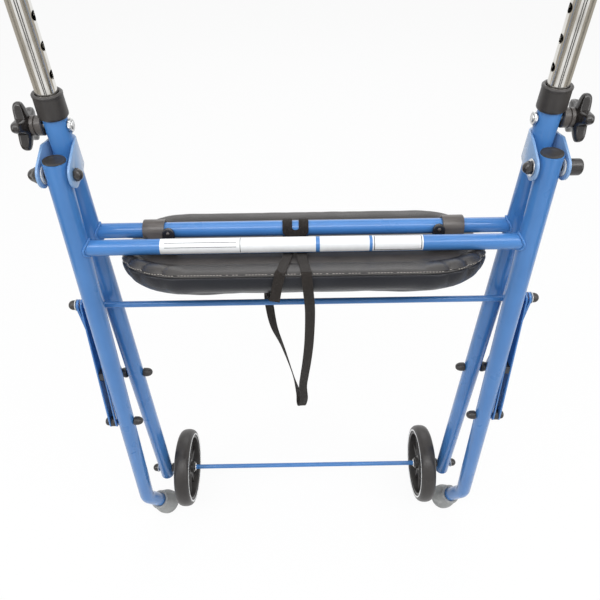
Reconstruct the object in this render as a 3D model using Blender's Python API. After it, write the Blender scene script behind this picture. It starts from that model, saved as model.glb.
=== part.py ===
"""Folding walker with two front wheels and a flip-over seat, shown folded.

Model frame: metres, X to the user's right, Y forward (towards the wheels), Z up.
While modelling, the origin is the hinge line of the two leg frames. At the end
everything is moved so that the origin is the bottom centre of the whole object.
"""

import math

import bmesh
import bpy
from mathutils import Vector

# General fits
GAP = 0.0003
PIN_CLEARANCE = 0.0006
ROUND = 16
SMALL_ROUND = 12
WHEEL_ROUND = 22
HOLE_ROUND = 8

# Main tubes
TUBE_OD = 0.0254
TUBE_WALL = 0.0012
CROSS_OD = 0.01905
CROSS_WALL = 0.0015
ROD_OD = 0.0085

# Rear legs (they end in rubber feet); half spread and outward splay per metre down
REAR_SPREAD = 0.2620
REAR_SPLAY = 0.0648
REAR_TOP = 0.0162
REAR_LENGTH = 0.7000
FOOT_FORWARD_DEG = 21.0
FOOT_INWARD_DEG = 11.0
FOOT_STUB = 0.0930
FOOT_BEND_RADIUS = 0.0550

# Front legs (they carry the wheels and the handles)
FRONT_SPREAD_STEP = 0.0003
FRONT_SPREAD = REAR_SPREAD - FRONT_SPREAD_STEP
FRONT_SPLAY = 0.0289
FRONT_SETBACK = 0.0340
FRONT_LEAN = 0.0413
FRONT_TOP = 0.0727
FRONT_LENGTH = 0.7240

# Drops below the hinge line
REAR_CROSS_DROP = 0.0975
FRONT_CROSS_DROP = 0.1001
STAY_ROD_DROP = 0.2084
STAY_ROD_SETBACK = 0.0200
FRONT_STAY_DROP = 0.3866
REAR_STAY_DROP = 0.4488
AXLE_DROP = 0.7020

# Hinge bracket and bolt
BRACKET_PLATE = 0.0025
BRACKET_NOSE = 0.0140
BRACKET_TOP = 0.0240
BRACKET_BOTTOM = -0.0050
BRACKET_JOGGLE = (0.0040, 0.0115)
HINGE_BOLT_OD = 0.0080
HINGE_WASHER = 0.0013
HINGE_WASHER_R = 0.0095

# Handles
HANDLE_OD = 0.0222
HANDLE_WALL = 0.0012
HANDLE_BELOW_PIN = 0.1350
HANDLE_BEND_START = 0.1850
HANDLE_BEND_RADIUS = 0.0500
HANDLE_BEND_DEG = 67.0
GRIP_TUBE = 0.1100
GRIP_OD = 0.0330
GRIP_BACK = 0.0070
HOLE_PITCH = 0.0270
HOLES_BELOW = 4
HOLES_ABOVE = 4
HOLE_OD = 0.0090

# Collar, lock stud, star knob and nut
COLLAR_BOTTOM = 0.0510
COLLAR_TOP = 0.0768
COLLAR_WALL = 0.0028
COLLAR_OD = TUBE_OD + 2 * COLLAR_WALL
LOCK_HEIGHT = 0.0405
STUD_OD = 0.0078
NUT_FLATS = 0.0130
NUT_THICK = 0.0032
KNOB_HUB_OD = 0.0212
KNOB_HUB = 0.0130
KNOB_OD = 0.0520
KNOB_THICK = 0.0140
KNOB_LOBES = 5

# Stays
LONG_STAY_WIDTH = 0.0115
LONG_STAY_DEPTH = 0.0180
LONG_STAY_WALL = 0.0020
LONG_STAY_OFF_LEG = 0.0010
STAY_STOP_FROM_END = 0.1030
STAY_STOP = 0.0120
STAY_BOLT_OD = 0.0066
SHORT_STAY_PLATE = 0.0030
SHORT_STAY_DEPTH = 0.0160
SHORT_STAY_CLEAR = 0.0023
SHORT_STAY_STRAIGHT = 0.0850
SHORT_STAY_JOGGLE_END = 0.1480
FRONT_STAY_SPACER = 0.0100
SPACER_R = 0.0085
CAP_R = 0.0070
CAP_LENGTH = 0.0120

# Wheels
TYRE_OD = 0.1500
TYRE_WIDTH = 0.0280
TYRE_DEPTH = 0.0097
RIM_OD = TYRE_OD - 2 * TYRE_DEPTH
WHEEL_INNER_FACE = 0.2230
AXLE_OD = 0.0085
HUB_OD = 0.0300
HUB_WEB = 0.0060
WHEEL_SPOKES = 5

# Feet
FOOT_TIP_OD = 0.0470
FOOT_TIP_BODY = 0.0460
FOOT_TIP_MOUTH = 0.0360
FOOT_TIP_SOLE = 0.0080

# Seat, clipped under the front cross tube; it slopes down towards the front
SEAT_TILT_DEG = 16.0
SEAT_WIDTH = 0.4500
SEAT_FRONT = 0.1290
SEAT_REAR = 0.0920
SEAT_FRONT_CORNER = 0.0630
SEAT_REAR_CORNER = 0.0900
BOARD_THICK = 0.0050
BOARD_INSET = 0.0040
CUSHION_THICK = 0.0230
CUSHION_CROWN = 0.0080
SEAT_TUBE_CLEAR = 0.0004
CLIP_CENTRE = 0.1840
CLIP_WIDTH = 0.0260
CLIP_WALL = 0.0032
CLIP_FOOT = 0.0040
CLIP_SCREW_FROM_EDGE = 0.0055
CLIP_SCREW_R = 0.0042
CLIP_SCREW_AHEAD = -0.0150

# Webbing strap
STRAP_WIDTH = 0.0120
STRAP_THICK = 0.0014
STRAP_SPREAD = 0.0200
STRAP_CENTRE = -0.0100
STRAP_LIFT = 0.0007

SIDES = (("left", -1), ("right", 1))
X_AXIS = Vector((1, 0, 0))
Z_AXIS = Vector((0, 0, 1))


# Places that several pieces share

def rear_leg_point(side, drop):
    return Vector((side * (REAR_SPREAD + REAR_SPLAY * drop), 0, -drop))


def front_leg_point(side, drop):
    return Vector((side * (FRONT_SPREAD + FRONT_SPLAY * drop), FRONT_SETBACK + FRONT_LEAN * drop, -drop))


def down_direction(point_at, side):
    return (point_at(side, 1.0) - point_at(side, 0.0)).normalized()


def front_cross_centre():
    return Vector((0, front_leg_point(1, FRONT_CROSS_DROP).y, -FRONT_CROSS_DROP))


def seat_axes():
    tilt = math.radians(SEAT_TILT_DEG)
    ahead = Vector((0, math.cos(tilt), -math.sin(tilt)))
    up = Vector((0, math.sin(tilt), math.cos(tilt)))
    return ahead, up


def board_drop():
    """Distance from the front cross tube's axis down to the board's upper face.

    The board clears the rear cross tube as that tube swings past on the hinge.
    """
    _, up = seat_axes()
    plane_from_hinge = REAR_CROSS_DROP + CROSS_OD / 2 + SEAT_TUBE_CLEAR
    return plane_from_hinge + front_cross_centre().dot(up)


def seat_point(x, ahead_by, up_by):
    ahead, up = seat_axes()
    return front_cross_centre() + Vector((x, 0, 0)) + ahead * ahead_by + up * up_by


def long_stay_inner_x(drop):
    return REAR_SPREAD + REAR_SPLAY * drop + TUBE_OD / 2 + LONG_STAY_OFF_LEG


def square_gap(splay, radius):
    """Gap beside a splayed leg for a round face that is square to X."""
    return GAP + splay * radius


def stay_rod_point(x=0.0):
    return Vector((x, STAY_ROD_SETBACK, -STAY_ROD_DROP))


# Mesh helpers

def material(name, colour, roughness, metallic=0.0):
    shader = bpy.data.materials.new(name)
    shader.use_nodes = True
    principled = shader.node_tree.nodes["Principled BSDF"]
    principled.inputs["Base Color"].default_value = (*colour, 1.0)
    principled.inputs["Roughness"].default_value = roughness
    principled.inputs["Metallic"].default_value = metallic
    return shader


def model_place(obj):
    """Place in the model frame of an empty; no parent is turned, so the steps add up."""
    place = Vector((0, 0, 0))
    while obj:
        place = place + obj.location
        obj = obj.parent
    return place


def add_object(name, mesh_data, shader, parent, origin=Vector((0, 0, 0)), smooth_deg=35.0):
    """Wrap a bmesh as an object whose own origin is at the given place."""
    bmesh.ops.recalc_face_normals(mesh_data, faces=mesh_data.faces)
    bmesh.ops.translate(mesh_data, vec=-origin, verts=mesh_data.verts)
    mesh = bpy.data.meshes.new(name)
    mesh_data.to_mesh(mesh)
    mesh_data.free()
    mesh.shade_smooth()
    mesh.set_sharp_from_angle(angle=math.radians(smooth_deg))
    mesh.materials.append(shader)
    obj = bpy.data.objects.new(name, mesh)
    bpy.context.collection.objects.link(obj)
    obj.parent = parent
    obj.location = origin - model_place(parent)
    return obj


def cross_frame(direction, hint=None):
    """Two unit vectors square to a direction, the first as near to the hint as can be."""
    hint = hint or X_AXIS
    first = (hint - direction * hint.dot(direction)).normalized()
    return first, direction.cross(first)


def add_ring(mesh_data, centre, first, second, radius, count):
    ring = []
    for step in range(count):
        turn = 2 * math.pi * step / count
        ring.append(mesh_data.verts.new(centre + (first * math.cos(turn) + second * math.sin(turn)) * radius))
    return ring


def bridge(mesh_data, ring_a, ring_b):
    count = len(ring_a)
    for step in range(count):
        after = (step + 1) % count
        mesh_data.faces.new((ring_a[step], ring_a[after], ring_b[after], ring_b[step]))


def fan(mesh_data, ring, tip):
    count = len(ring)
    for step in range(count):
        mesh_data.faces.new((ring[step], ring[(step + 1) % count], tip))


def turned(profile, base, direction, count=ROUND, hollow=False):
    """Turn a profile of (distance along, radius) pairs about a line.

    A hollow profile is a closed loop that never meets the axis.
    """
    mesh_data = bmesh.new()
    first, second = cross_frame(direction, Z_AXIS if abs(direction.x) > 0.5 else X_AXIS)
    rings = []
    for along, radius in profile:
        centre = base + direction * along
        if radius > 0:
            rings.append(add_ring(mesh_data, centre, first, second, radius, count))
        else:
            rings.append(mesh_data.verts.new(centre))
    pairs = list(zip(rings, rings[1:]))
    if hollow:
        pairs.append((rings[-1], rings[0]))
    for ring_a, ring_b in pairs:
        if isinstance(ring_a, bmesh.types.BMVert):
            fan(mesh_data, ring_b, ring_a)
        elif isinstance(ring_b, bmesh.types.BMVert):
            fan(mesh_data, ring_a, ring_b)
        else:
            bridge(mesh_data, ring_a, ring_b)
    return mesh_data


def fillet_path(start, corner, end, radius, steps=5):
    """Points of a bent tube's centre line: straight, arc, straight."""
    back = (start - corner).normalized()
    on = (end - corner).normalized()
    half = back.angle(on) / 2
    reach = radius / math.tan(half)
    centre = corner + (back + on).normalized() * (radius / math.sin(half))
    first = corner + back * reach - centre
    last = corner + on * reach - centre
    points = [start]
    for step in range(steps + 1):
        points.append(centre + first.slerp(last, step / steps) * radius)
    points.append(end)
    return points


def pipe(points, outer, inner, count=ROUND, hint=None):
    """A hollow tube along a path, open at both ends."""
    mesh_data = bmesh.new()
    outside, inside = [], []
    side = hint or X_AXIS
    for index, point in enumerate(points):
        before = points[max(index - 1, 0)]
        after = points[min(index + 1, len(points) - 1)]
        direction = ((point - before).normalized() + (after - point).normalized()).normalized()
        first, second = cross_frame(direction, side)
        side = first
        outside.append(add_ring(mesh_data, point, first, second, outer, count))
        inside.append(add_ring(mesh_data, point, first, second, inner, count))
    for rings in (outside, inside):
        for ring_a, ring_b in zip(rings, rings[1:]):
            bridge(mesh_data, ring_a, ring_b)
    bridge(mesh_data, outside[0], inside[0])
    bridge(mesh_data, outside[-1], inside[-1])
    return mesh_data


def prism(outline, extrusion):
    """Extrude a flat outline of points along a vector."""
    mesh_data = bmesh.new()
    near = [mesh_data.verts.new(point) for point in outline]
    far = [mesh_data.verts.new(point + extrusion) for point in outline]
    bridge(mesh_data, near, far)
    mesh_data.faces.new(near)
    mesh_data.faces.new(far)
    return mesh_data


def bar(stations, width_axis):
    """Sweep a rectangle through stations of (centre, half width, half thickness vector)."""
    mesh_data = bmesh.new()
    rings = []
    for centre, half_width, half_thick in stations:
        across = width_axis * half_width
        corners = (across + half_thick, -across + half_thick, -across - half_thick, across - half_thick)
        rings.append([mesh_data.verts.new(centre + corner) for corner in corners])
    for ring_a, ring_b in zip(rings, rings[1:]):
        bridge(mesh_data, ring_a, ring_b)
    mesh_data.faces.new(rings[0])
    mesh_data.faces.new(rings[-1])
    return mesh_data


def make_tool(name, mesh_data, parent):
    """A hidden solid that a Boolean uses."""
    tool = add_object(name, mesh_data, MATERIALS["steel"], parent)
    tool.display_type = "WIRE"
    tool.hide_render = True
    return tool


def boolean(obj, tool, operation="DIFFERENCE"):
    modifier = obj.modifiers.new(tool.name, "BOOLEAN")
    modifier.operation = operation
    modifier.object = tool
    return modifier


def drill(obj, centre, radius, reach, parent, direction=X_AXIS, count=HOLE_ROUND):
    """Cut a round hole right through along a direction."""
    profile = [(-reach, 0), (-reach, radius), (reach, radius), (reach, 0)]
    name = f"{obj.name}_hole_{len(obj.modifiers)}"
    boolean(obj, make_tool(name, turned(profile, centre, direction, count), parent))


def arc(centre, radius, start_deg, end_deg, steps):
    """Points (y, z) along an arc."""
    points = []
    for step in range(steps + 1):
        turn = math.radians(start_deg + (end_deg - start_deg) * step / steps)
        points.append((centre[0] + radius * math.cos(turn), centre[1] + radius * math.sin(turn)))
    return points


def dome(start, radius, length, steps=4):
    """Profile of a domed cap, from its rim to its tip."""
    points = []
    for step in range(steps + 1):
        turn = math.pi / 2 * step / steps
        reach = length * math.sin(turn)
        points.append((start + reach, radius * math.cos(turn) if step < steps else 0))
    return points


# Front frame

def make_front_leg(label, side, parent):
    top = front_leg_point(side, -FRONT_TOP)
    bottom = front_leg_point(side, FRONT_LENGTH)
    mesh_data = pipe([top, bottom], TUBE_OD / 2, TUBE_OD / 2 - TUBE_WALL)
    leg = add_object(f"front_leg_{label}", mesh_data, MATERIALS["blue"], parent, top)
    bores = (
        (-LOCK_HEIGHT, STUD_OD),
        (FRONT_STAY_DROP, STAY_BOLT_OD),
        (AXLE_DROP, AXLE_OD),
    )
    for drop, pin in bores:
        drill(leg, front_leg_point(side, drop), pin / 2 + PIN_CLEARANCE, TUBE_OD, parent)


def cross_tube_mesh(centre, half_length):
    """A tube with a weld fillet swelling at each end, before its ends are coped."""
    outer = CROSS_OD / 2
    weld = 0.0045
    swell = 0.0014
    outside = [
        (-half_length, outer + swell * 2.2),
        (-half_length + weld * 3.2, outer + swell),
        (-half_length + weld * 4.2, outer),
        (half_length - weld * 4.2, outer),
        (half_length - weld * 3.2, outer + swell),
        (half_length, outer + swell * 2.2),
    ]
    inner = outer - CROSS_WALL
    inside = [(half_length, inner), (-half_length, inner)]
    return turned(outside + inside, centre, X_AXIS, hollow=True)


def make_cross_tube(name, centre, point_at, drop, parent):
    half_length = point_at(1, drop).x
    tube = add_object(name, cross_tube_mesh(centre, half_length), MATERIALS["blue"], parent, centre)
    for _, side in SIDES:
        down = down_direction(point_at, side)
        base = point_at(side, drop)
        reach = TUBE_OD * 1.5
        profile = [(-reach, 0), (-reach, TUBE_OD / 2 + GAP), (reach, TUBE_OD / 2 + GAP), (reach, 0)]
        boolean(tube, make_tool(f"{name}_cope_{side}", turned(profile, base, down), parent))


def make_front_leg_plug(label, side, parent):
    down = down_direction(front_leg_point, side)
    end = front_leg_point(side, FRONT_LENGTH)
    inner = TUBE_OD / 2 - TUBE_WALL - GAP
    profile = [(-0.010, 0), (-0.010, inner), (GAP, inner), (GAP, TUBE_OD / 2)]
    profile += dome(0.0022, TUBE_OD / 2, 0.0060)
    add_object(f"front_leg_plug_{label}", turned(profile, end, down), MATERIALS["black"], parent, end)


def make_collar(label, side, parent):
    down = down_direction(front_leg_point, side)
    base = front_leg_point(side, -COLLAR_BOTTOM)
    height = COLLAR_TOP - COLLAR_BOTTOM
    seat = FRONT_TOP - COLLAR_BOTTOM + GAP
    outer = COLLAR_OD / 2
    profile = [
        (0, TUBE_OD / 2 + GAP),
        (0, outer - 0.0012),
        (-0.0014, outer),
        (-height + 0.0008, outer - 0.0010),
        (-height, outer - 0.0018),
        (-height, HANDLE_OD / 2 + 0.0008),
        (-height + 0.0012, HANDLE_OD / 2 + PIN_CLEARANCE),
        (-seat, HANDLE_OD / 2 + PIN_CLEARANCE),
        (-seat, TUBE_OD / 2 + GAP),
    ]
    collar = turned(profile, base, down, hollow=True)
    add_object(f"tube_collar_{label}", collar, MATERIALS["black"], parent, base)


def hex_nut(base, direction, flats, thick, bore):
    corner = flats / math.sqrt(3)
    mesh_data = bmesh.new()
    first, second = cross_frame(direction, Z_AXIS)
    outer_a = add_ring(mesh_data, base, first, second, corner, 6)
    outer_b = add_ring(mesh_data, base + direction * thick, first, second, corner, 6)
    inner_a = add_ring(mesh_data, base, first, second, bore, 6)
    inner_b = add_ring(mesh_data, base + direction * thick, first, second, bore, 6)
    bridge(mesh_data, outer_a, outer_b)
    bridge(mesh_data, inner_a, inner_b)
    bridge(mesh_data, outer_a, inner_a)
    bridge(mesh_data, outer_b, inner_b)
    return mesh_data


def lock_point():
    return front_leg_point(1, -LOCK_HEIGHT)


def lock_faces():
    """X of the nut's face and of the knob hub's face against the front leg."""
    middle = lock_point().x
    nut_face = middle - TUBE_OD / 2 - square_gap(FRONT_SPLAY, NUT_FLATS / 2)
    hub_face = middle + TUBE_OD / 2 + square_gap(FRONT_SPLAY, KNOB_HUB_OD / 2)
    return nut_face, hub_face


def make_adjust_nut(label, side, parent):
    centre = lock_point()
    base = Vector((side * lock_faces()[0], centre.y, centre.z))
    bore = STUD_OD / 2 * 1.155 + PIN_CLEARANCE
    nut = hex_nut(base, X_AXIS * -side, NUT_FLATS, NUT_THICK, bore)
    add_object(f"adjust_nut_{label}", nut, MATERIALS["zinc"], parent, base)


def hinge_faces():
    """X of the washers and ears on each side of the rear leg at the hinge."""
    beside = TUBE_OD / 2 + square_gap(REAR_SPLAY, HINGE_WASHER_R)
    leg_inner = REAR_SPREAD - beside
    leg_outer = REAR_SPREAD + beside
    ear_inner = leg_inner - HINGE_WASHER - 2 * GAP
    ear_outer = leg_outer + HINGE_WASHER + 2 * GAP
    return leg_inner, leg_outer, ear_inner, ear_outer


def bracket_plan(side):
    """Middle line of the bracket's strip in plan, from the inner ear round the leg to the outer."""
    _, _, ear_inner, ear_outer = hinge_faces()
    half = BRACKET_PLATE / 2
    centre_y = FRONT_SETBACK
    radius = TUBE_OD / 2 + GAP + half
    inner = ear_inner - half
    outer = ear_outer + half
    plan = [(inner, -BRACKET_NOSE), (inner, centre_y - BRACKET_JOGGLE[1])]
    plan.append((FRONT_SPREAD - radius - BRACKET_PLATE / 4, centre_y - BRACKET_JOGGLE[0]))
    steps = 8
    for step in range(steps + 1):
        turn = math.pi - math.pi * step / steps
        plan.append((FRONT_SPREAD + radius * math.cos(turn), centre_y + radius * math.sin(turn)))
    plan.append((FRONT_SPREAD + radius + BRACKET_PLATE / 4, centre_y - BRACKET_JOGGLE[0]))
    plan.append((outer, centre_y - BRACKET_JOGGLE[1]))
    plan.append((outer, -BRACKET_NOSE))
    return [Vector((side * x, y, 0)) for x, y in plan]


def ear_outline():
    """Side view (y, z) of an ear: a round nose at the bolt that widens to the strap."""
    nose = arc((0, 0), BRACKET_NOSE, 118, 262, 8)
    strap_front = FRONT_SETBACK + TUBE_OD
    strap = [(strap_front, BRACKET_BOTTOM), (strap_front, BRACKET_TOP), (FRONT_SETBACK * 0.6, BRACKET_TOP)]
    return nose + strap


def make_bracket(label, side, parent):
    plan = bracket_plan(side)
    stations = []
    middle = (BRACKET_TOP + BRACKET_BOTTOM) / 2
    tall = BRACKET_TOP + BRACKET_NOSE
    for index, point in enumerate(plan):
        before = plan[max(index - 1, 0)]
        after = plan[min(index + 1, len(plan) - 1)]
        along = ((point - before).normalized() + (after - point).normalized()).normalized()
        across = Vector((-along.y, along.x, 0))
        shear = Vector((0, 0, middle))
        stations.append((point + shear, tall, across * (BRACKET_PLATE / 2)))
    mesh_data = bar(stations, Z_AXIS)
    origin = Vector((side * REAR_SPREAD, 0, 0))
    bracket = add_object(f"hinge_bracket_{label}", mesh_data, MATERIALS["blue"], parent, origin)
    reach = REAR_SPREAD * 0.5
    outline = [Vector((side * reach, y, z)) for y, z in ear_outline()]
    shape = make_tool(f"hinge_bracket_{label}_shape", prism(outline, X_AXIS * side * REAR_SPREAD), parent)
    boolean(bracket, shape, "INTERSECT")
    down = down_direction(front_leg_point, side)
    leg_reach = TUBE_OD * 3
    leg_cut = TUBE_OD / 2 + GAP
    profile = [(-leg_reach, 0), (-leg_reach, leg_cut), (leg_reach, leg_cut), (leg_reach, 0)]
    leg_tool = turned(profile, front_leg_point(side, 0), down)
    boolean(bracket, make_tool(f"hinge_bracket_{label}_seat", leg_tool, parent))
    drill(bracket, origin, HINGE_BOLT_OD / 2 + PIN_CLEARANCE, TUBE_OD * 2, parent)


def make_hinge_bolt(label, side, parent):
    """Bolt, its washers and caps, turned in one line along X from inside to outside."""
    leg_inner, leg_outer, ear_inner, ear_outer = hinge_faces()
    shank = HINGE_BOLT_OD / 2
    ear_in_out = ear_inner - BRACKET_PLATE
    washer_r = HINGE_WASHER_R
    profile = [(ear_in_out - GAP - 0.0094, 0), (ear_in_out - GAP - 0.0090, 0.0030)]
    profile += [(ear_in_out - GAP - 0.0062, 0.0062), (ear_in_out - GAP - 0.0018, 0.0068)]
    profile += [(ear_in_out - GAP - 0.0016, washer_r * 0.9), (ear_in_out - GAP, washer_r * 0.9)]
    profile += [(ear_in_out - GAP + 0.0001, shank), (ear_inner + GAP, shank)]
    profile += [(ear_inner + GAP + 0.0001, washer_r), (leg_inner - 0.0001, washer_r), (leg_inner, shank)]
    profile += [(leg_outer, shank), (leg_outer + 0.0001, washer_r), (ear_outer - GAP, washer_r)]
    profile += [(ear_outer - GAP + 0.0001, shank)]
    head = ear_outer + BRACKET_PLATE + GAP
    if side < 0:
        profile += [(head - 0.0001, shank), (head, washer_r * 0.9), (head + 0.0014, washer_r * 0.9)]
        profile += [(head + 0.0016, 0.0068), (head + 0.0060, 0.0062)]
        profile += [(head + 0.0088, 0.0030), (head + 0.0092, 0)]
    else:
        profile += [(head - 0.0001, shank), (head, 0.0090), (head + 0.0150, 0.0088)]
        profile += [(head + 0.0160, 0.0078), (head + 0.0160, 0)]
    origin = Vector((side * REAR_SPREAD, 0, 0))
    bolt = turned(profile, Vector((0, 0, 0)), X_AXIS * side, SMALL_ROUND)
    add_object(f"hinge_bolt_{label}", bolt, MATERIALS["black"], parent, origin)


def front_stay_faces():
    """X of the outer leg face, the spacer's end and the short stay at the front stay bolt."""
    leg_x = front_leg_point(1, FRONT_STAY_DROP).x
    beside = TUBE_OD / 2 + square_gap(FRONT_SPLAY, SPACER_R)
    return leg_x - beside, leg_x + beside, leg_x + beside + FRONT_STAY_SPACER


def make_front_stay_bolt(label, side, parent):
    leg_inner, leg_outer, spacer_end = front_stay_faces()
    shank = STAY_BOLT_OD / 2
    plate_end = spacer_end + GAP + SHORT_STAY_PLATE + GAP
    profile = [(leg_inner - CAP_LENGTH - 0.002, 0)]
    profile += [(leg_inner - CAP_LENGTH, CAP_R * 0.62), (leg_inner - CAP_LENGTH * 0.5, CAP_R * 0.93)]
    profile += [(leg_inner - 0.0002, CAP_R), (leg_inner, shank)]
    profile += [(leg_outer, shank), (leg_outer + 0.0002, SPACER_R)]
    profile += [(spacer_end, SPACER_R * 0.76), (spacer_end + 0.0001, shank)]
    profile += [(plate_end, shank), (plate_end + 0.0001, CAP_R), (plate_end + 0.0035, CAP_R * 0.7)]
    profile += [(plate_end + 0.0040, 0)]
    centre = front_leg_point(side, FRONT_STAY_DROP)
    base = Vector((0, centre.y, centre.z))
    bolt = turned(profile, base, X_AXIS * side, SMALL_ROUND)
    add_object(f"front_stay_bolt_{label}", bolt, MATERIALS["black"], parent, centre)


# Axle and wheels

def wheel_faces():
    leg_x = front_leg_point(1, AXLE_DROP).x
    beside = TUBE_OD / 2 + square_gap(FRONT_SPLAY, SPACER_R)
    return WHEEL_INNER_FACE, WHEEL_INNER_FACE + TYRE_WIDTH, leg_x - beside, leg_x + beside


def axle_point(x=0.0):
    centre = front_leg_point(1, AXLE_DROP)
    return Vector((x, centre.y, centre.z))


def make_axle_rod(parent):
    _, _, _, leg_outer = wheel_faces()
    half = leg_outer + 0.004
    radius = AXLE_OD / 2
    profile = [(-half, 0), (-half, radius), (half, radius), (half, 0)]
    axle = turned(profile, axle_point(), X_AXIS, SMALL_ROUND)
    add_object("axle_rod", axle, MATERIALS["blue"], parent, axle_point())


def make_axle_fittings(label, side, parent):
    wheel_inner, wheel_outer, leg_inner, leg_outer = wheel_faces()
    bore = AXLE_OD / 2 + GAP
    spacer = [
        (wheel_outer + GAP * 2, bore),
        (wheel_outer + GAP * 2, 0.0080),
        (leg_inner, 0.0080),
        (leg_inner, bore),
    ]
    base = axle_point()
    name = f"axle_spacer_{label}"
    ring = turned(spacer, base, X_AXIS * side, SMALL_ROUND, True)
    add_object(name, ring, MATERIALS["black"], parent, axle_point(side * leg_inner))
    lock = [
        (wheel_inner - GAP * 2, bore),
        (wheel_inner - GAP * 2, 0.0075),
        (wheel_inner - 0.0030, 0.0075),
        (wheel_inner - 0.0030, bore),
    ]
    name = f"axle_lock_washer_{label}"
    ring = turned(lock, base, X_AXIS * side, SMALL_ROUND, True)
    add_object(name, ring, MATERIALS["zinc"], parent, axle_point(side * wheel_inner))
    rod_end = leg_outer + 0.004
    cap = [
        (leg_outer, bore),
        (leg_outer, 0.0085),
        (leg_outer + 0.0013, 0.0085),
        (leg_outer + 0.0014, 0.0070),
        (leg_outer + 0.0070, 0.0066),
        (leg_outer + 0.0110, 0.0035),
        (leg_outer + 0.0120, 0),
        (rod_end + GAP * 2, 0),
        (rod_end + GAP * 2, bore),
    ]
    name = f"axle_cap_{label}"
    cap_mesh = closed_cap(cap, base, X_AXIS * side)
    add_object(name, cap_mesh, MATERIALS["black"], parent, axle_point(side * leg_outer))


def closed_cap(profile, base, direction, count=SMALL_ROUND):
    """A cup: the profile meets the axis twice, outside at the tip and inside at the blind end."""
    mesh_data = bmesh.new()
    first, second = cross_frame(direction, Z_AXIS)
    rings = []
    for along, radius in profile:
        centre = base + direction * along
        if radius > 0:
            rings.append(add_ring(mesh_data, centre, first, second, radius, count))
        else:
            rings.append(mesh_data.verts.new(centre))
    loop = list(zip(rings, rings[1:])) + [(rings[-1], rings[0])]
    for ring_a, ring_b in loop:
        a_is_point = isinstance(ring_a, bmesh.types.BMVert)
        b_is_point = isinstance(ring_b, bmesh.types.BMVert)
        if a_is_point and b_is_point:
            continue
        if a_is_point:
            fan(mesh_data, ring_b, ring_a)
        elif b_is_point:
            fan(mesh_data, ring_a, ring_b)
        else:
            bridge(mesh_data, ring_a, ring_b)
    return mesh_data


def make_tyre(label, side, parent):
    middle = WHEEL_INNER_FACE + TYRE_WIDTH / 2
    outer = TYRE_OD / 2
    inner = RIM_OD / 2 - 0.0030
    half = TYRE_WIDTH / 2
    profile = [(-half * 0.80, inner), (-half * 0.86, RIM_OD / 2)]
    steps = 6
    centre_r = outer - half * 0.62
    for step in range(steps + 1):
        turn = math.pi - math.pi * step / steps
        profile.append((half * math.cos(turn), centre_r + half * 0.62 * math.sin(turn)))
    profile += [(half * 0.86, RIM_OD / 2), (half * 0.80, inner)]
    base = axle_point(side * middle)
    tyre = turned(profile, base, X_AXIS * side, WHEEL_ROUND, True)
    add_object(f"tyre_{label}", tyre, MATERIALS["tyre"], parent, base)


def make_wheel_hub(label, side, parent):
    """Rim, five-window web and hub barrel in one moulding."""
    middle = WHEEL_INNER_FACE + TYRE_WIDTH / 2
    half = TYRE_WIDTH / 2
    rim_out = RIM_OD / 2 - 0.0030 - GAP
    rim_in = rim_out - 0.0035
    hub_r = HUB_OD / 2
    web = HUB_WEB / 2
    bore = AXLE_OD / 2 + GAP
    profile = [
        (-half, bore),
        (-half, hub_r * 0.8),
        (-web, hub_r),
        (-web, rim_in),
        (-half * 0.80, rim_in),
        (-half * 0.80, rim_out),
        (half * 0.80, rim_out),
        (half * 0.80, rim_in),
        (web, rim_in),
        (web, hub_r),
        (half, hub_r * 0.8),
        (half, bore),
    ]
    base = axle_point(side * middle)
    hub = add_object(f"wheel_hub_{label}", turned(profile, base, X_AXIS * side, WHEEL_ROUND, True),
                     MATERIALS["black"], parent, base)
    window_r = (rim_in + hub_r) / 2
    window = (rim_in - hub_r) / 2 - 0.0070
    for spoke in range(WHEEL_SPOKES):
        turn = 2 * math.pi * (spoke + 0.5) / WHEEL_SPOKES
        centre = base + Vector((0, window_r * math.cos(turn), window_r * math.sin(turn)))
        drill(hub, centre, window, HUB_WEB, parent, count=HOLE_ROUND)


# Rear frame

def foot_direction(side):
    forward = math.radians(FOOT_FORWARD_DEG)
    inward = math.radians(FOOT_INWARD_DEG)
    return Vector((-side * math.sin(inward), math.sin(forward) * math.cos(inward),
                   -math.cos(forward) * math.cos(inward)))


def foot_corner(side):
    return rear_leg_point(side, REAR_LENGTH)


def make_rear_leg(label, side, parent):
    top = rear_leg_point(side, -REAR_TOP)
    corner = foot_corner(side)
    end = corner + foot_direction(side) * FOOT_STUB
    path = fillet_path(top, corner, end, FOOT_BEND_RADIUS)
    origin = Vector((0, 0, 0))
    mesh_data = pipe(path, TUBE_OD / 2, TUBE_OD / 2 - TUBE_WALL)
    leg = add_object(f"rear_leg_{label}", mesh_data, MATERIALS["blue"], parent, origin)
    drill(leg, rear_leg_point(side, 0), HINGE_BOLT_OD / 2 + PIN_CLEARANCE, TUBE_OD, parent)
    drill(leg, rear_leg_point(side, REAR_STAY_DROP), STAY_BOLT_OD / 2 + PIN_CLEARANCE, TUBE_OD, parent)


def make_rear_leg_plug(label, side, parent):
    down = down_direction(rear_leg_point, side)
    top = rear_leg_point(side, -REAR_TOP)
    inner = TUBE_OD / 2 - TUBE_WALL - GAP
    clear_of_bolt = REAR_TOP - HINGE_BOLT_OD / 2 - 0.002
    profile = [(clear_of_bolt, 0), (clear_of_bolt, inner), (-GAP, inner), (-GAP, TUBE_OD / 2 - 0.0008)]
    profile += [(-0.0010, TUBE_OD / 2 - 0.0010), (-0.0016, TUBE_OD / 4), (-0.0018, 0)]
    add_object(f"rear_leg_plug_{label}", turned(profile, top, down), MATERIALS["black"], parent, top)


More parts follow.
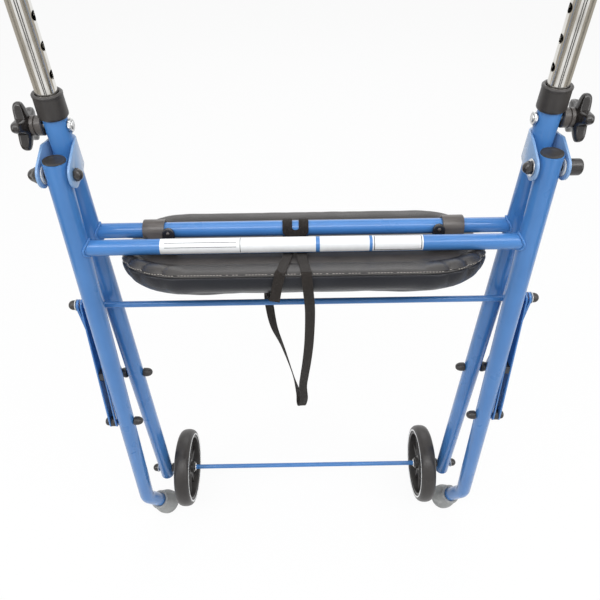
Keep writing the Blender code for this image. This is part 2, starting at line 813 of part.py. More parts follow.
def make_foot_tip(label, side, parent):
    """Rubber tip: a flat round sole, a bell body and a raised ring at its mouth."""
    direction = foot_direction(side)
    corner = foot_corner(side)
    bore = TUBE_OD / 2 + GAP
    sole = FOOT_STUB + GAP + FOOT_TIP_SOLE
    mouth = sole - FOOT_TIP_BODY
    base_r = FOOT_TIP_OD / 2
    mouth_r = FOOT_TIP_MOUTH / 2
    profile = [
        (mouth, bore),
        (mouth, mouth_r - 0.0008),
        (mouth + 0.0010, mouth_r),
        (mouth + 0.0050, mouth_r),
        (mouth + 0.0062, mouth_r - 0.0008),
        (sole - 0.0270, mouth_r + 0.0022),
        (sole - 0.0170, base_r - 0.0010),
        (sole - 0.0110, base_r),
        (sole - 0.0030, base_r),
        (sole, base_r - 0.0020),
        (sole, 0),
        (FOOT_STUB + GAP, 0),
        (FOOT_STUB + GAP, bore),
    ]
    tip = tip_mesh(profile, corner, direction)
    add_object(f"foot_tip_{label}", tip, MATERIALS["grey_rubber"], parent, corner + direction * sole)


def tip_mesh(profile, base, direction):
    """Like a cup, with a flat one-face sole."""
    mesh_data = bmesh.new()
    first, second = cross_frame(direction, X_AXIS)
    rings = []
    for along, radius in profile:
        if radius > 0:
            rings.append(add_ring(mesh_data, base + direction * along, first, second, radius, ROUND))
        else:
            rings.append(None)
    for ring_a, ring_b in zip(rings, rings[1:] + rings[:1]):
        if ring_a and ring_b:
            bridge(mesh_data, ring_a, ring_b)
        elif ring_a or ring_b:
            mesh_data.faces.new(ring_a or ring_b)
    return mesh_data


def rear_stay_faces():
    """X of the leg's inner side and of the channel's two sides at the rear stay bolt."""
    leg_x = rear_leg_point(1, REAR_STAY_DROP).x
    beside = TUBE_OD / 2 + square_gap(REAR_SPLAY, CAP_R)
    channel = long_stay_inner_x(REAR_STAY_DROP)
    return leg_x - beside, channel, channel + LONG_STAY_WIDTH


def make_rear_stay_bolt(label, side, parent):
    leg_inner, channel_in, channel_out = rear_stay_faces()
    shank = STAY_BOLT_OD / 2
    inside_in = channel_in + LONG_STAY_WALL + 2 * GAP
    inside_out = channel_out - LONG_STAY_WALL - 2 * GAP
    sleeve_r = 0.0062
    lean = REAR_SPLAY * LONG_STAY_DEPTH / 2
    head = channel_out + lean + GAP
    profile = [(leg_inner - CAP_LENGTH - 0.002, 0)]
    profile += [(leg_inner - CAP_LENGTH, CAP_R * 0.62), (leg_inner - CAP_LENGTH * 0.5, CAP_R * 0.93)]
    profile += [(leg_inner - 0.0002, CAP_R), (leg_inner, shank)]
    profile += [(inside_in, shank), (inside_in + 0.0001, sleeve_r)]
    profile += [(inside_out - 0.0001, sleeve_r), (inside_out, shank)]
    profile += [(head, shank), (head + 0.0001, CAP_R), (head + 0.0040, CAP_R * 0.9), (head + 0.0065, 0.003)]
    profile += [(head + 0.0070, 0)]
    centre = rear_leg_point(side, REAR_STAY_DROP)
    bolt = turned(profile, Vector((0, centre.y, centre.z)), X_AXIS * side, SMALL_ROUND)
    add_object(f"rear_stay_bolt_{label}", bolt, MATERIALS["black"], parent, centre)


# Stays

def stay_line():
    """Foot and top of the long stay's middle line in side view, and its unit direction."""
    foot = Vector((0, 0, -REAR_STAY_DROP))
    top = stay_rod_point()
    return foot, top, (top - foot).normalized()


def stadium(start, end, half_width, steps=8):
    """Side-view outline with round ends, square to the bar's direction."""
    along = (end - start).normalized()
    across = along.cross(X_AXIS)
    points = []
    for step in range(steps + 1):
        turn = math.pi * step / steps
        points.append(end + across * (half_width * math.cos(turn)) + along * (half_width * math.sin(turn)))
    for step in range(steps + 1):
        turn = math.pi * step / steps
        points.append(start - across * (half_width * math.cos(turn)) - along * (half_width * math.sin(turn)))
    return points


def lean_out(mesh_data, side):
    """Shear a stay outwards as it goes down, so that it runs beside its splayed leg."""
    for vert in mesh_data.verts:
        vert.co.x += side * REAR_SPLAY * -(vert.co.z + REAR_STAY_DROP)
    return mesh_data


def make_long_stay(label, side, parent):
    """A channel, open towards the user, with a stop block across it."""
    foot, top, along = stay_line()
    inner = rear_stay_faces()[1]
    half = LONG_STAY_DEPTH / 2
    outline = [point + Vector((side * inner, 0, 0)) for point in stadium(foot, top, half)]
    body = lean_out(prism(outline, X_AXIS * side * LONG_STAY_WIDTH), side)
    origin = Vector((side * inner, 0, -REAR_STAY_DROP))
    stay = add_object(f"long_stay_{label}", body, MATERIALS["blue"], parent, origin)
    rear = along.cross(X_AXIS)
    rear = rear if rear.y < 0 else -rear
    length = (top - foot).length
    stop = (STAY_STOP_FROM_END, STAY_STOP_FROM_END + STAY_STOP)
    pockets = ((-half * 2, stop[0], LONG_STAY_WALL), (stop[1], length + half * 2, LONG_STAY_WALL),
               (-half * 2, length + half * 2, LONG_STAY_DEPTH - 0.0030))
    for index, (start, end, floor) in enumerate(pockets):
        low, high = -half + floor, half + 0.004
        corners = [foot + along * start + rear * low, foot + along * end + rear * low,
                   foot + along * end + rear * high, foot + along * start + rear * high]
        outline = [corner + Vector((side * (inner + LONG_STAY_WALL), 0, 0)) for corner in corners]
        width = LONG_STAY_WIDTH - 2 * LONG_STAY_WALL
        pocket = lean_out(prism(outline, X_AXIS * side * width), side)
        boolean(stay, make_tool(f"long_stay_{label}_pocket_{index}", pocket, parent))
    drill(stay, Vector((side * inner, foot.y, foot.z)), STAY_BOLT_OD / 2 + PIN_CLEARANCE, 0.03, parent)
    drill(stay, Vector((side * inner, top.y, top.z)), ROD_OD / 2 + PIN_CLEARANCE, 0.05, parent)


def stay_rod_half():
    outer = long_stay_inner_x(STAY_ROD_DROP) + LONG_STAY_WIDTH
    return outer + REAR_SPLAY * LONG_STAY_DEPTH / 2


def make_stay_rod(parent):
    half = stay_rod_half()
    radius = ROD_OD / 2
    profile = [(-half, 0), (-half, radius), (half, radius), (half, 0)]
    rod = turned(profile, stay_rod_point(), X_AXIS, SMALL_ROUND)
    add_object("stay_rod", rod, MATERIALS["blue"], parent, stay_rod_point())


def short_stay_ends():
    centre = front_leg_point(1, FRONT_STAY_DROP)
    return stay_rod_point(), Vector((0, centre.y, centre.z))


def make_short_stay(label, side, parent):
    """A flat bar outboard of the channel at its top, joggled in to the front leg's bolt."""
    top, foot = short_stay_ends()
    along = (foot - top).normalized()
    length = (foot - top).length
    half = SHORT_STAY_DEPTH / 2
    top_x = stay_rod_half() + SHORT_STAY_CLEAR + SHORT_STAY_PLATE / 2
    foot_x = front_stay_faces()[2] + GAP + SHORT_STAY_PLATE / 2
    outline = stadium(foot, top, half, 6)
    shape = [point + Vector((side * (foot_x - 0.02), 0, 0)) for point in outline]
    before = half + 0.002
    places = (
        (-before, top_x - REAR_SPLAY * before),
        (SHORT_STAY_STRAIGHT, top_x + REAR_SPLAY * SHORT_STAY_STRAIGHT),
        (SHORT_STAY_JOGGLE_END, foot_x),
        (length + before, foot_x),
    )
    across = along.cross(X_AXIS)
    stations = []
    for reach, x in places:
        centre = top + along * reach + Vector((side * x, 0, 0))
        stations.append((centre, half + 0.002, X_AXIS * side * (SHORT_STAY_PLATE / 2)))
    origin = Vector((side * foot_x, foot.y, foot.z))
    stay = add_object(f"short_stay_{label}", bar(stations, across), MATERIALS["blue"], parent, origin)
    shape_tool = make_tool(f"short_stay_{label}_shape", prism(shape, X_AXIS * side * 0.06), parent)
    boolean(stay, shape_tool, "INTERSECT")
    drill(stay, Vector((side * foot_x, foot.y, foot.z)), STAY_BOLT_OD / 2 + PIN_CLEARANCE, 0.03, parent)
    drill(stay, Vector((side * top_x, top.y, top.z)), STAY_BOLT_OD / 2 + PIN_CLEARANCE, 0.03, parent)


def make_stay_cap(label, side, parent):
    """Pin with a washer and a dome cap, held in the short stay's top hole."""
    inner = stay_rod_half() + SHORT_STAY_CLEAR
    outer = inner + SHORT_STAY_PLATE
    shank = STAY_BOLT_OD / 2
    washer = CAP_R * 1.15
    seat = outer + square_gap(REAR_SPLAY, washer)
    start = inner + 0.0002
    profile = [(start, 0), (start, shank), (seat, shank), (seat + 0.0001, washer)]
    profile += [(seat + 0.0013, washer), (seat + 0.0014, CAP_R), (seat + 0.0048, CAP_R * 0.93)]
    profile += [(seat + 0.0080, CAP_R * 0.6), (seat + 0.0092, 0)]
    centre = stay_rod_point()
    cap = turned(profile, centre, X_AXIS * side, SMALL_ROUND)
    add_object(f"stay_cap_{label}", cap, MATERIALS["black"], parent, centre + X_AXIS * side * outer)


# Handles

def handle_path(side):
    up = -down_direction(front_leg_point, side)
    pin = front_leg_point(side, -LOCK_HEIGHT)
    bottom = pin - up * HANDLE_BELOW_PIN
    bend = math.radians(HANDLE_BEND_DEG)
    back = Vector((0, -1, 0))
    back = (back - up * back.dot(up)).normalized()
    grip = up * math.cos(bend) + back * math.sin(bend)
    reach = HANDLE_BEND_RADIUS * math.tan(bend / 2)
    corner = pin + up * (HANDLE_BEND_START - LOCK_HEIGHT + reach)
    end = corner + grip * (reach + GRIP_TUBE + 0.012)
    return bottom, corner, end, up, grip


def make_handle_tube(label, side, parent):
    bottom, corner, end, up, _ = handle_path(side)
    path = fillet_path(bottom, corner, end, HANDLE_BEND_RADIUS, 6)
    mesh_data = pipe(path, HANDLE_OD / 2, HANDLE_OD / 2 - HANDLE_WALL)
    tube = add_object(f"handle_tube_{label}", mesh_data, MATERIALS["chrome"], parent, bottom)
    pin = front_leg_point(side, -LOCK_HEIGHT)
    for step in range(-HOLES_BELOW, HOLES_ABOVE + 1):
        drill(tube, pin + up * (step * HOLE_PITCH), HOLE_OD / 2, HANDLE_OD, parent)


def make_grip(label, side, parent):
    _, corner, end, _, grip = handle_path(side)
    bore = HANDLE_OD / 2 + GAP
    outer = GRIP_OD / 2
    profile = [(-GRIP_TUBE, bore), (-GRIP_TUBE, outer + 0.0015), (-GRIP_TUBE + 0.0040, outer + 0.0018),
               (-GRIP_TUBE + 0.0065, outer - 0.0010)]
    ridges = 3
    pitch = (GRIP_TUBE - 0.022) / ridges
    for ridge in range(ridges):
        start = -GRIP_TUBE + 0.012 + ridge * pitch
        profile += [(start, outer - 0.0008), (start + pitch * 0.5, outer)]
    profile += [(-0.006, outer - 0.0010), (GRIP_BACK - 0.004, outer - 0.0004)]
    profile += [(GRIP_BACK - 0.001, outer - 0.003), (GRIP_BACK, outer - 0.006)]
    profile += [(GRIP_BACK, 0), (GAP, 0), (GAP, bore)]
    add_object(f"grip_{label}", closed_cap(profile, end, grip, ROUND), MATERIALS["soft_black"], parent, end)


def make_lock_stud(label, side, parent):
    centre = lock_point()
    nut_face, hub_start = lock_faces()
    radius = STUD_OD / 2
    start = nut_face - NUT_THICK - 0.0012
    end = hub_start + KNOB_HUB + KNOB_THICK * 0.55
    profile = [(start, 0), (start, radius - 0.0006), (start + 0.0008, radius), (end, radius), (end, 0)]
    base = Vector((0, centre.y, centre.z))
    stud = turned(profile, base, X_AXIS * side, HOLE_ROUND)
    origin = Vector((side * start, centre.y, centre.z))
    add_object(f"lock_stud_{label}", stud, MATERIALS["zinc"], parent, origin)


def knob_outline(radius, lobes, steps):
    """Star outline (y, z): round lobes joined by hollows."""
    points = []
    count = lobes * steps
    mean = (radius + radius * 0.52) / 2
    swing = (radius - radius * 0.52) / 2
    for step in range(count):
        turn = 2 * math.pi * step / count
        wave = math.cos(lobes * turn)
        reach = mean + swing * math.copysign(abs(wave) ** 0.7, wave)
        points.append((reach * math.cos(turn + math.pi / 2), reach * math.sin(turn + math.pi / 2)))
    return points


def make_star_knob(label, side, parent):
    centre = lock_point()
    hub_start = lock_faces()[1]
    star_start = hub_start + KNOB_HUB
    bore = STUD_OD / 2 + GAP
    base = Vector((0, centre.y, centre.z))
    direction = X_AXIS * side
    mesh_data = bmesh.new()
    outline = knob_outline(KNOB_OD / 2, KNOB_LOBES, 5)
    count = len(outline)

    def ring(along, blend, scale):
        """A ring that goes from round (0) to the star outline (1)."""
        verts = []
        for index in range(count):
            y, z = outline[index]
            star = math.hypot(y, z)
            round_r = KNOB_HUB_OD / 2
            reach = (round_r * (1 - blend) + star * blend) * scale
            verts.append(mesh_data.verts.new(base + direction * along + Vector((0, y, z)) / star * reach))
        return verts

    def bore_ring(along):
        verts = []
        for y, z in outline:
            star = math.hypot(y, z)
            verts.append(mesh_data.verts.new(base + direction * along + Vector((0, y, z)) / star * bore))
        return verts

    back = star_start + KNOB_THICK
    blind = star_start + KNOB_THICK * 0.55 + GAP
    rings = [
        bore_ring(hub_start),
        ring(hub_start, 0, 1.0),
        ring(star_start - 0.0010, 0, 0.92),
        ring(star_start + 0.0010, 0.8, 0.93),
        ring(star_start + 0.0040, 1, 1.0),
        ring(star_start + KNOB_THICK * 0.62, 1, 0.97),
        ring(star_start + KNOB_THICK * 0.85, 0.9, 0.88),
        ring(back - 0.0010, 0.7, 0.72),
        ring(back, 0.3, 0.55),
    ]
    for ring_a, ring_b in zip(rings, rings[1:]):
        bridge(mesh_data, ring_a, ring_b)
    tip = mesh_data.verts.new(base + direction * back)
    fan(mesh_data, rings[-1], tip)
    inner = bore_ring(blind)
    bridge(mesh_data, rings[0], inner)
    fan(mesh_data, inner, mesh_data.verts.new(base + direction * blind))
    origin = Vector((side * hub_start, centre.y, centre.z))
    add_object(f"star_knob_{label}", mesh_data, MATERIALS["black"], parent, origin)


# Seat

def seat_outline(inset, steps=7):
    """Rounded outline (x, ahead) of the seat, with larger corners at the rear."""
    half = SEAT_WIDTH / 2 - inset
    front = SEAT_FRONT - inset
    rear = -SEAT_REAR + inset
    corners = (
        ((half, front), SEAT_FRONT_CORNER - inset, 0),
        ((-half, front), SEAT_FRONT_CORNER - inset, 90),
        ((-half, rear), SEAT_REAR_CORNER - inset, 180),
        ((half, rear), SEAT_REAR_CORNER - inset, 270),
    )
    points = []
    for (x, y), radius, start in corners:
        centre = (x - math.copysign(radius, x), y - math.copysign(radius, y))
        points += arc(centre, radius, start, start + 90, steps)
    return points


def make_seat_board(parent):
    up = -board_drop()
    outline = [seat_point(x, ahead, up - BOARD_THICK) for x, ahead in seat_outline(BOARD_INSET)]
    _, normal = seat_axes()
    board = prism(outline, normal * BOARD_THICK)
    add_object("seat_board", board, MATERIALS["black"], parent, front_cross_centre())


def make_seat_cushion(parent):
    """A pad with drawn-in sides and a crown, soft side down while the walker is folded."""
    top = -board_drop() - BOARD_THICK - GAP
    mesh_data = bmesh.new()
    edge = (
        (0.0030, 0.0000),
        (0.0006, -0.0020),
        (0.0000, -0.0055),
        (0.0014, -0.0090),
        (0.0004, -0.0120),
        (0.0030, -0.0165),
        (0.0100, -0.0205),
    )
    middle = (SEAT_FRONT - SEAT_REAR) / 2
    rings = []
    for inset, depth in edge:
        outline = seat_outline(inset)
        rings.append([mesh_data.verts.new(seat_point(x, ahead, top + depth)) for x, ahead in outline])
    rim = seat_outline(edge[-1][0])
    side_depth = -edge[-1][1]
    for scale in (0.84, 0.62, 0.36):
        depth = side_depth + (CUSHION_THICK + CUSHION_CROWN * 0.6 - side_depth) * (1 - scale ** 2.4)
        ring = []
        for x, ahead in rim:
            drawn_in = middle + (ahead - middle) * scale
            ring.append(mesh_data.verts.new(seat_point(x * scale, drawn_in, top - depth)))
        rings.append(ring)
    for ring_a, ring_b in zip(rings, rings[1:]):
        bridge(mesh_data, ring_a, ring_b)
    crown = mesh_data.verts.new(seat_point(0, middle, top - CUSHION_THICK - CUSHION_CROWN * 0.6))
    fan(mesh_data, rings[-1], crown)
    mesh_data.faces.new(rings[0])
    add_object("seat_cushion", mesh_data, MATERIALS["vinyl"], parent, front_cross_centre(), 60.0)


def make_seat_clip(label, side, parent):
    """A saddle over the front cross tube with a foot on the board, and a screw hole in the foot."""
    drop = board_drop()
    ahead, up = seat_axes()
    radius = CROSS_OD / 2 + PIN_CLEARANCE + CLIP_WALL
    base = -drop + GAP
    outline = arc((0, 0), radius, 0, 180, 10) + [(-radius, base), (radius, base)]
    start = side * (CLIP_CENTRE - CLIP_WIDTH / 2)
    points = [seat_point(start, a, b) for a, b in outline]
    saddle = prism(points, X_AXIS * side * CLIP_WIDTH)
    origin = front_cross_centre() + Vector((side * CLIP_CENTRE, 0, 0))
    clip = add_object(f"seat_clip_{label}", saddle, MATERIALS["black"], parent, origin)
    foot_start = CLIP_CENTRE - CLIP_WIDTH / 2 - 2 * CLIP_SCREW_FROM_EDGE
    low = base + GAP
    foot = [(CLIP_SCREW_AHEAD - 0.006, low), (radius - 0.002, low),
            (radius - 0.002, low + CLIP_FOOT), (CLIP_SCREW_AHEAD - 0.006, low + CLIP_FOOT)]
    points = [seat_point(side * foot_start, a, b) for a, b in foot]
    foot_mesh = prism(points, X_AXIS * side * (2 * CLIP_SCREW_FROM_EDGE + CLIP_WIDTH * 0.6))
    boolean(clip, make_tool(f"seat_clip_{label}_foot", foot_mesh, parent), "UNION")
    drill(clip, origin, CROSS_OD / 2 + PIN_CLEARANCE, CLIP_WIDTH * 2, parent, count=ROUND)
    screw = seat_point(side * clip_screw_x(), CLIP_SCREW_AHEAD, base)
    drill(clip, screw, 0.0024, CLIP_FOOT * 3, parent, up, 12)


def clip_screw_x():
    return CLIP_CENTRE - CLIP_WIDTH / 2 - CLIP_SCREW_FROM_EDGE


def make_clip_screw(label, side, parent):
    """Screw head on the clip's foot; its shank runs down the foot's hole to the board."""
    _, up = seat_axes()
    base_up = -board_drop() + GAP
    start = seat_point(side * clip_screw_x(), CLIP_SCREW_AHEAD, base_up)
    head = CLIP_FOOT + 2 * GAP
    profile = [(0, 0), (0, 0.0020), (head, 0.0020), (head + 0.0001, CLIP_SCREW_R)]
    profile += [(head + 0.0010, CLIP_SCREW_R), (head + 0.0022, CLIP_SCREW_R * 0.6), (head + 0.0025, 0)]
    screw = turned(profile, start, up, HOLE_ROUND)
    add_object(f"clip_screw_{label}", screw, MATERIALS["zinc"], parent, start)


# Strap

def around_front_tube(x, start_deg, end_deg, steps, radius):
    """Route points round the front cross tube; the angle runs from ahead (0) over the top (90)."""
    points = []
    for step in range(steps + 1):
        turn = math.radians(start_deg + (end_deg - start_deg) * step / steps)
        ahead, up = seat_axes()
        outward = ahead * math.cos(turn) + up * math.sin(turn)
        points.append((front_cross_centre() + Vector((x, 0, 0)) + outward * radius, -outward))
    return points


def smooth_route(route, per_span=4):
    """A Catmull-Rom curve through (place, face normal) pairs."""
    result = []
    last = len(route) - 1
    for index in range(last):
        around = [route[max(index - 1, 0)], route[index], route[index + 1], route[min(index + 2, last)]]
        for step in range(per_span):
            t = step / per_span
            pair = []
            for item in (0, 1):
                a, b, c, d = (station[item] for station in around)
                pair.append(b + ((c - a) * t + (a * 2 - b * 5 + c * 4 - d) * t ** 2
                                 + (b * 3 - a - c * 3 + d) * t ** 3) / 2)
            result.append((pair[0], pair[1].normalized()))
    result.append(route[last])
    return result


def strap_route():
    """Short tail, hitch round the front cross tube, long hanging loop and back."""
    _, up = seat_axes()
    user = Vector((0, -1, 0))
    lift = -board_drop() + GAP + STRAP_THICK / 2 + STRAP_LIFT
    left = STRAP_CENTRE - STRAP_SPREAD / 2
    right = STRAP_CENTRE + STRAP_SPREAD / 2
    wrap = CROSS_OD / 2 + GAP + STRAP_THICK
    edge = -SEAT_REAR - GAP - STRAP_THICK * 1.5
    out = (user - up * user.dot(up)).normalized()

    def on_board(x, ahead_by):
        return (seat_point(x, ahead_by, lift), up)

    def on_side(x, below, off=0.0):
        return (seat_point(x, edge - off, lift - below), out)

    def hang(x, y, drop, facing):
        return (Vector((x, y, -drop)), facing.normalized())

    fore, low = Vector((0, 1, 0)), Vector((0, 0, -1))
    tail = [on_side(-0.0350, 0.034, 0.0015), on_side(-0.0320, 0.018), on_side(-0.0290, 0.006)]
    tail += [(seat_point(-0.0280, edge + 0.0015, lift - 0.0004), (up + out).normalized())]
    tail += [on_board(-0.0265, edge + 0.008), on_board(-0.0200, -0.040), on_board(-0.0180, -0.012)]
    over_left = around_front_tube(left, -80, 180, 9, wrap)
    over_right = around_front_tube(right, 180, -80, 9, wrap)
    ahead, _ = seat_axes()
    bight = []
    for across, down in ((-0.0085, 0.0080), (0.0, 0.0130), (0.0085, 0.0080)):
        bight.append((seat_point(STRAP_CENTRE + across, -wrap - 0.0008, -down), ahead))
    long_tail = [on_board(0.0000, -0.012), on_board(-0.0030, -0.040), on_board(0.0010, edge + 0.008)]
    long_tail += [(seat_point(0.0015, edge + 0.0015, lift - 0.0008), (up + out).normalized())]
    long_tail += [on_side(0.0020, 0.008), on_side(0.0035, 0.024)]
    long_tail += [
        hang(0.0056, -0.060, 0.152, user),
        hang(0.0049, -0.050, 0.212, user),
        hang(0.0023, -0.040, 0.262, user),
        hang(-0.0008, -0.028, 0.307, user),
        hang(-0.0029, -0.016, 0.347, user),
        hang(-0.0014, -0.006, 0.389, user),
        hang(-0.0046, 0.004, 0.420, user + low),
        hang(-0.0070, 0.012, 0.424, low + fore * 0.4),
        hang(-0.0100, 0.018, 0.412, fore),
        hang(-0.0180, 0.024, 0.372, fore),
        hang(-0.0314, 0.031, 0.314, fore),
        hang(-0.0434, 0.034, 0.272, fore),
        hang(-0.0480, 0.034, 0.232, fore),
        hang(-0.0480, 0.026, 0.200, fore + low * -0.5),
        hang(-0.0440, 0.004, 0.172, Vector((0, 0.6, 0.8))),
        hang(-0.0400, -0.030, 0.152, Vector((0, 0.6, 0.8))),
        hang(-0.0370, -0.052, 0.138, Vector((0, 0.7, 0.6))),
    ]
    return tail + over_left + bight + over_right + long_tail


def make_strap(parent):
    stations = smooth_route(strap_route(), 2)
    mesh_data = bmesh.new()
    rings = []
    width = X_AXIS
    for index, (place, normal) in enumerate(stations):
        before = stations[max(index - 1, 0)][0]
        after = stations[min(index + 1, len(stations) - 1)][0]
        along = (after - before).normalized()
        width = along.cross(normal).normalized()
        face = width.cross(along)
        across = width * (STRAP_WIDTH / 2)
        thick = face * (STRAP_THICK / 2)
        corners = (across + thick, -across + thick, -across - thick, across - thick)
        rings.append([mesh_data.verts.new(place + corner) for corner in corners])
    for ring_a, ring_b in zip(rings, rings[1:]):
        bridge(mesh_data, ring_a, ring_b)
    mesh_data.faces.new(rings[0])
    mesh_data.faces.new(rings[-1])
    add_object("tie_strap", mesh_data, MATERIALS["webbing"], parent, front_cross_centre())


# Build

def clear_scene():
    for obj in list(bpy.data.objects):
        bpy.data.objects.remove(obj)


def make_empty(name, parent=None, place=Vector((0, 0, 0))):
    empty = bpy.data.objects.new(name, None)
    bpy.context.collection.objects.link(empty)
    empty.parent = parent
    empty.location = place - model_place(parent)
    return empty


def make_bodies(walker):
    """One empty for each moving group, on the axis that the group moves about."""
    bodies = {"front_frame": make_empty("front_frame", walker)}
    front = bodies["front_frame"]
    bodies["rear_frame"] = make_empty("rear_frame", front)
    rear_bolt = Vector((0, 0, -REAR_STAY_DROP))
    bodies["long_stays"] = make_empty("long_stays", bodies["rear_frame"], rear_bolt)
    bodies["short_stays"] = make_empty("short_stays", front, short_stay_ends()[1])
    bodies["seat"] = make_empty("seat", front, front_cross_centre())
    for label, side in SIDES:
        lock = front_leg_point(side, -LOCK_HEIGHT)
        bodies[f"handle_{label}"] = make_empty(f"handle_{label}", front, lock)
        stud = make_empty(f"stud_{label}", front, lock)
        bodies[f"stud_{label}"] = stud
        bodies[f"knob_{label}"] = make_empty(f"knob_{label}", stud, lock)
        wheel_x = side * (WHEEL_INNER_FACE + TYRE_WIDTH / 2)
        bodies[f"wheel_{label}"] = make_empty(f"wheel_{label}", front, axle_point(wheel_x))
    return bodies


def stand_on_floor(walker):
    """Move the whole model so that the origin is the bottom centre of its box."""
    bpy.context.view_layer.update()
    graph = bpy.context.evaluated_depsgraph_get()
    low = Vector((math.inf,) * 3)
    high = Vector((-math.inf,) * 3)
    for obj in walker.children_recursive:
        if obj.type != "MESH" or obj.hide_render:
            continue
        shown = obj.evaluated_get(graph)
        for vert in shown.data.vertices:
            place = shown.matrix_world @ vert.co
            low = Vector(map(min, low, place))
            high = Vector(map(max, high, place))
    walker.location = Vector((0, -(low.y + high.y) / 2, -low.z))


clear_scene()
MATERIALS = {
    "blue": material("blue_paint", (0.10, 0.28, 0.62), 0.25),
    "chrome": material("chrome", (0.80, 0.80, 0.80), 0.08, 1.0),
    "steel": material("steel", (0.60, 0.60, 0.60), 0.35, 1.0),
    "zinc": material("zinc", (0.70, 0.71, 0.72), 0.35, 1.0),
    "black": material("black_plastic", (0.020, 0.018, 0.018), 0.45),
    "soft_black": material("soft_grip", (0.020, 0.020, 0.020), 0.70),
    "tyre": material("tyre_rubber", (0.035, 0.033, 0.032), 0.65),
    "grey_rubber": material("grey_rubber", (0.20, 0.21, 0.21), 0.75),
    "vinyl": material("black_vinyl", (0.022, 0.021, 0.024), 0.35),
    "webbing": material("black_webbing", (0.020, 0.018, 0.018), 0.85),
}
SIDE_MAKERS = (
    ("front_frame", make_front_leg),
    ("front_frame", make_front_leg_plug),
    ("front_frame", make_collar),
    ("front_frame", make_adjust_nut),
    ("front_frame", make_bracket),
    ("front_frame", make_hinge_bolt),
    ("front_frame", make_front_stay_bolt),
    ("front_frame", make_axle_fittings),
    ("rear_frame", make_rear_leg),
    ("rear_frame", make_rear_leg_plug),
    ("rear_frame", make_foot_tip),
    ("rear_frame", make_rear_stay_bolt),
    ("long_stays", make_long_stay),
    ("short_stays", make_short_stay),
    ("short_stays", make_stay_cap),
    ("seat", make_seat_clip),
    ("seat", make_clip_screw),
)
OWN_BODY_MAKERS = (
    ("wheel", make_tyre),
    ("wheel", make_wheel_hub),
    ("handle", make_handle_tube),
    ("handle", make_grip),
    ("stud", make_lock_stud),
    ("knob", make_star_knob),
)
walker_empty = make_empty("walker")
body_empties = make_bodies(walker_empty)
front_body = body_empties["front_frame"]
rear_body = body_empties["rear_frame"]
make_cross_tube("front_cross_tube", front_cross_centre(), front_leg_point, FRONT_CROSS_DROP, front_body)
rear_centre = Vector((0, 0, -REAR_CROSS_DROP))
make_cross_tube("rear_cross_tube", rear_centre, rear_leg_point, REAR_CROSS_DROP, rear_body)
make_axle_rod(front_body)
make_stay_rod(body_empties["long_stays"])
for side_label, side_sign in SIDES:
    for body_name, maker in SIDE_MAKERS:
        maker(side_label, side_sign, body_empties[body_name])
    for body_name, maker in OWN_BODY_MAKERS:
        maker(side_label, side_sign, body_empties[f"{body_name}_{side_label}"])
make_seat_board(body_empties["seat"])
make_seat_cushion(body_empties["seat"])
make_strap(front_body)
stand_on_floor(walker_empty)
print("walker stands with its hinge line at", tuple(round(value, 5) for value in walker_empty.location))
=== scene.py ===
# Folding walker with two front wheels and a flip-over seat, shown folded.
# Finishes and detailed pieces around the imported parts.
# Metres, X to the user's right, Y towards the wheels, Z up.
import functools
import math

import bmesh
import bpy
from mathutils import Matrix, Vector, noise


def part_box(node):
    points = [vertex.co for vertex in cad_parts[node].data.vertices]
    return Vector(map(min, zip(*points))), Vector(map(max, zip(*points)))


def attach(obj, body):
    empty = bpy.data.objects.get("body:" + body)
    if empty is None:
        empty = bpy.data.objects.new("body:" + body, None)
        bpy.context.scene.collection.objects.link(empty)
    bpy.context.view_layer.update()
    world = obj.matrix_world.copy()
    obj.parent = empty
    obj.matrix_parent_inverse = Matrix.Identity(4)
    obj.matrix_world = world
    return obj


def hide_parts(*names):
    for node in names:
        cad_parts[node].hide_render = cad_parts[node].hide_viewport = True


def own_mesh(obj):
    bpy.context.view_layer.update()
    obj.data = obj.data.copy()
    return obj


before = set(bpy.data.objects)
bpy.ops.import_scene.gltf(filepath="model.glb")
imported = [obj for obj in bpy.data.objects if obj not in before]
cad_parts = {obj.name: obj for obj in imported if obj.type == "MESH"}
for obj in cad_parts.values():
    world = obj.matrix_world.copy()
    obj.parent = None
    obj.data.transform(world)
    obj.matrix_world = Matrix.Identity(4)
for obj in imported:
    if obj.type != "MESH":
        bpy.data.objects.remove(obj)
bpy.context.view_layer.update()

xAxis = Vector((1, 0, 0))
yAxis = Vector((0, 1, 0))
zAxis = Vector((0, 0, 1))
sides = (("left", -1), ("right", 1))
gap = 0.0003


# Node trees

class Wire:
    # one output of a node; sums on it add Math nodes
    def __init__(self, tree, socket):
        self.tree = tree
        self.socket = socket

    def other(self, output):
        return Wire(self.tree, self.socket.node.outputs[output])


def addOperator(method, operation, swapped=False):
    def apply(wire, *others):
        values = (*others, wire) if swapped else (wire, *others)
        return wire.tree.node("ShaderNodeMath", {"operation": operation}, dict(enumerate(values)))

    setattr(Wire, method, apply)


for method, operation in (("__add__", "ADD"), ("__sub__", "SUBTRACT"), ("__mul__", "MULTIPLY"),
                          ("__truediv__", "DIVIDE"), ("__gt__", "GREATER_THAN"), ("__lt__", "LESS_THAN"),
                          ("larger", "MAXIMUM"), ("sine", "SINE"), ("absolute", "ABSOLUTE")):
    addOperator(method, operation)
addOperator("__rsub__", "SUBTRACT", swapped=True)


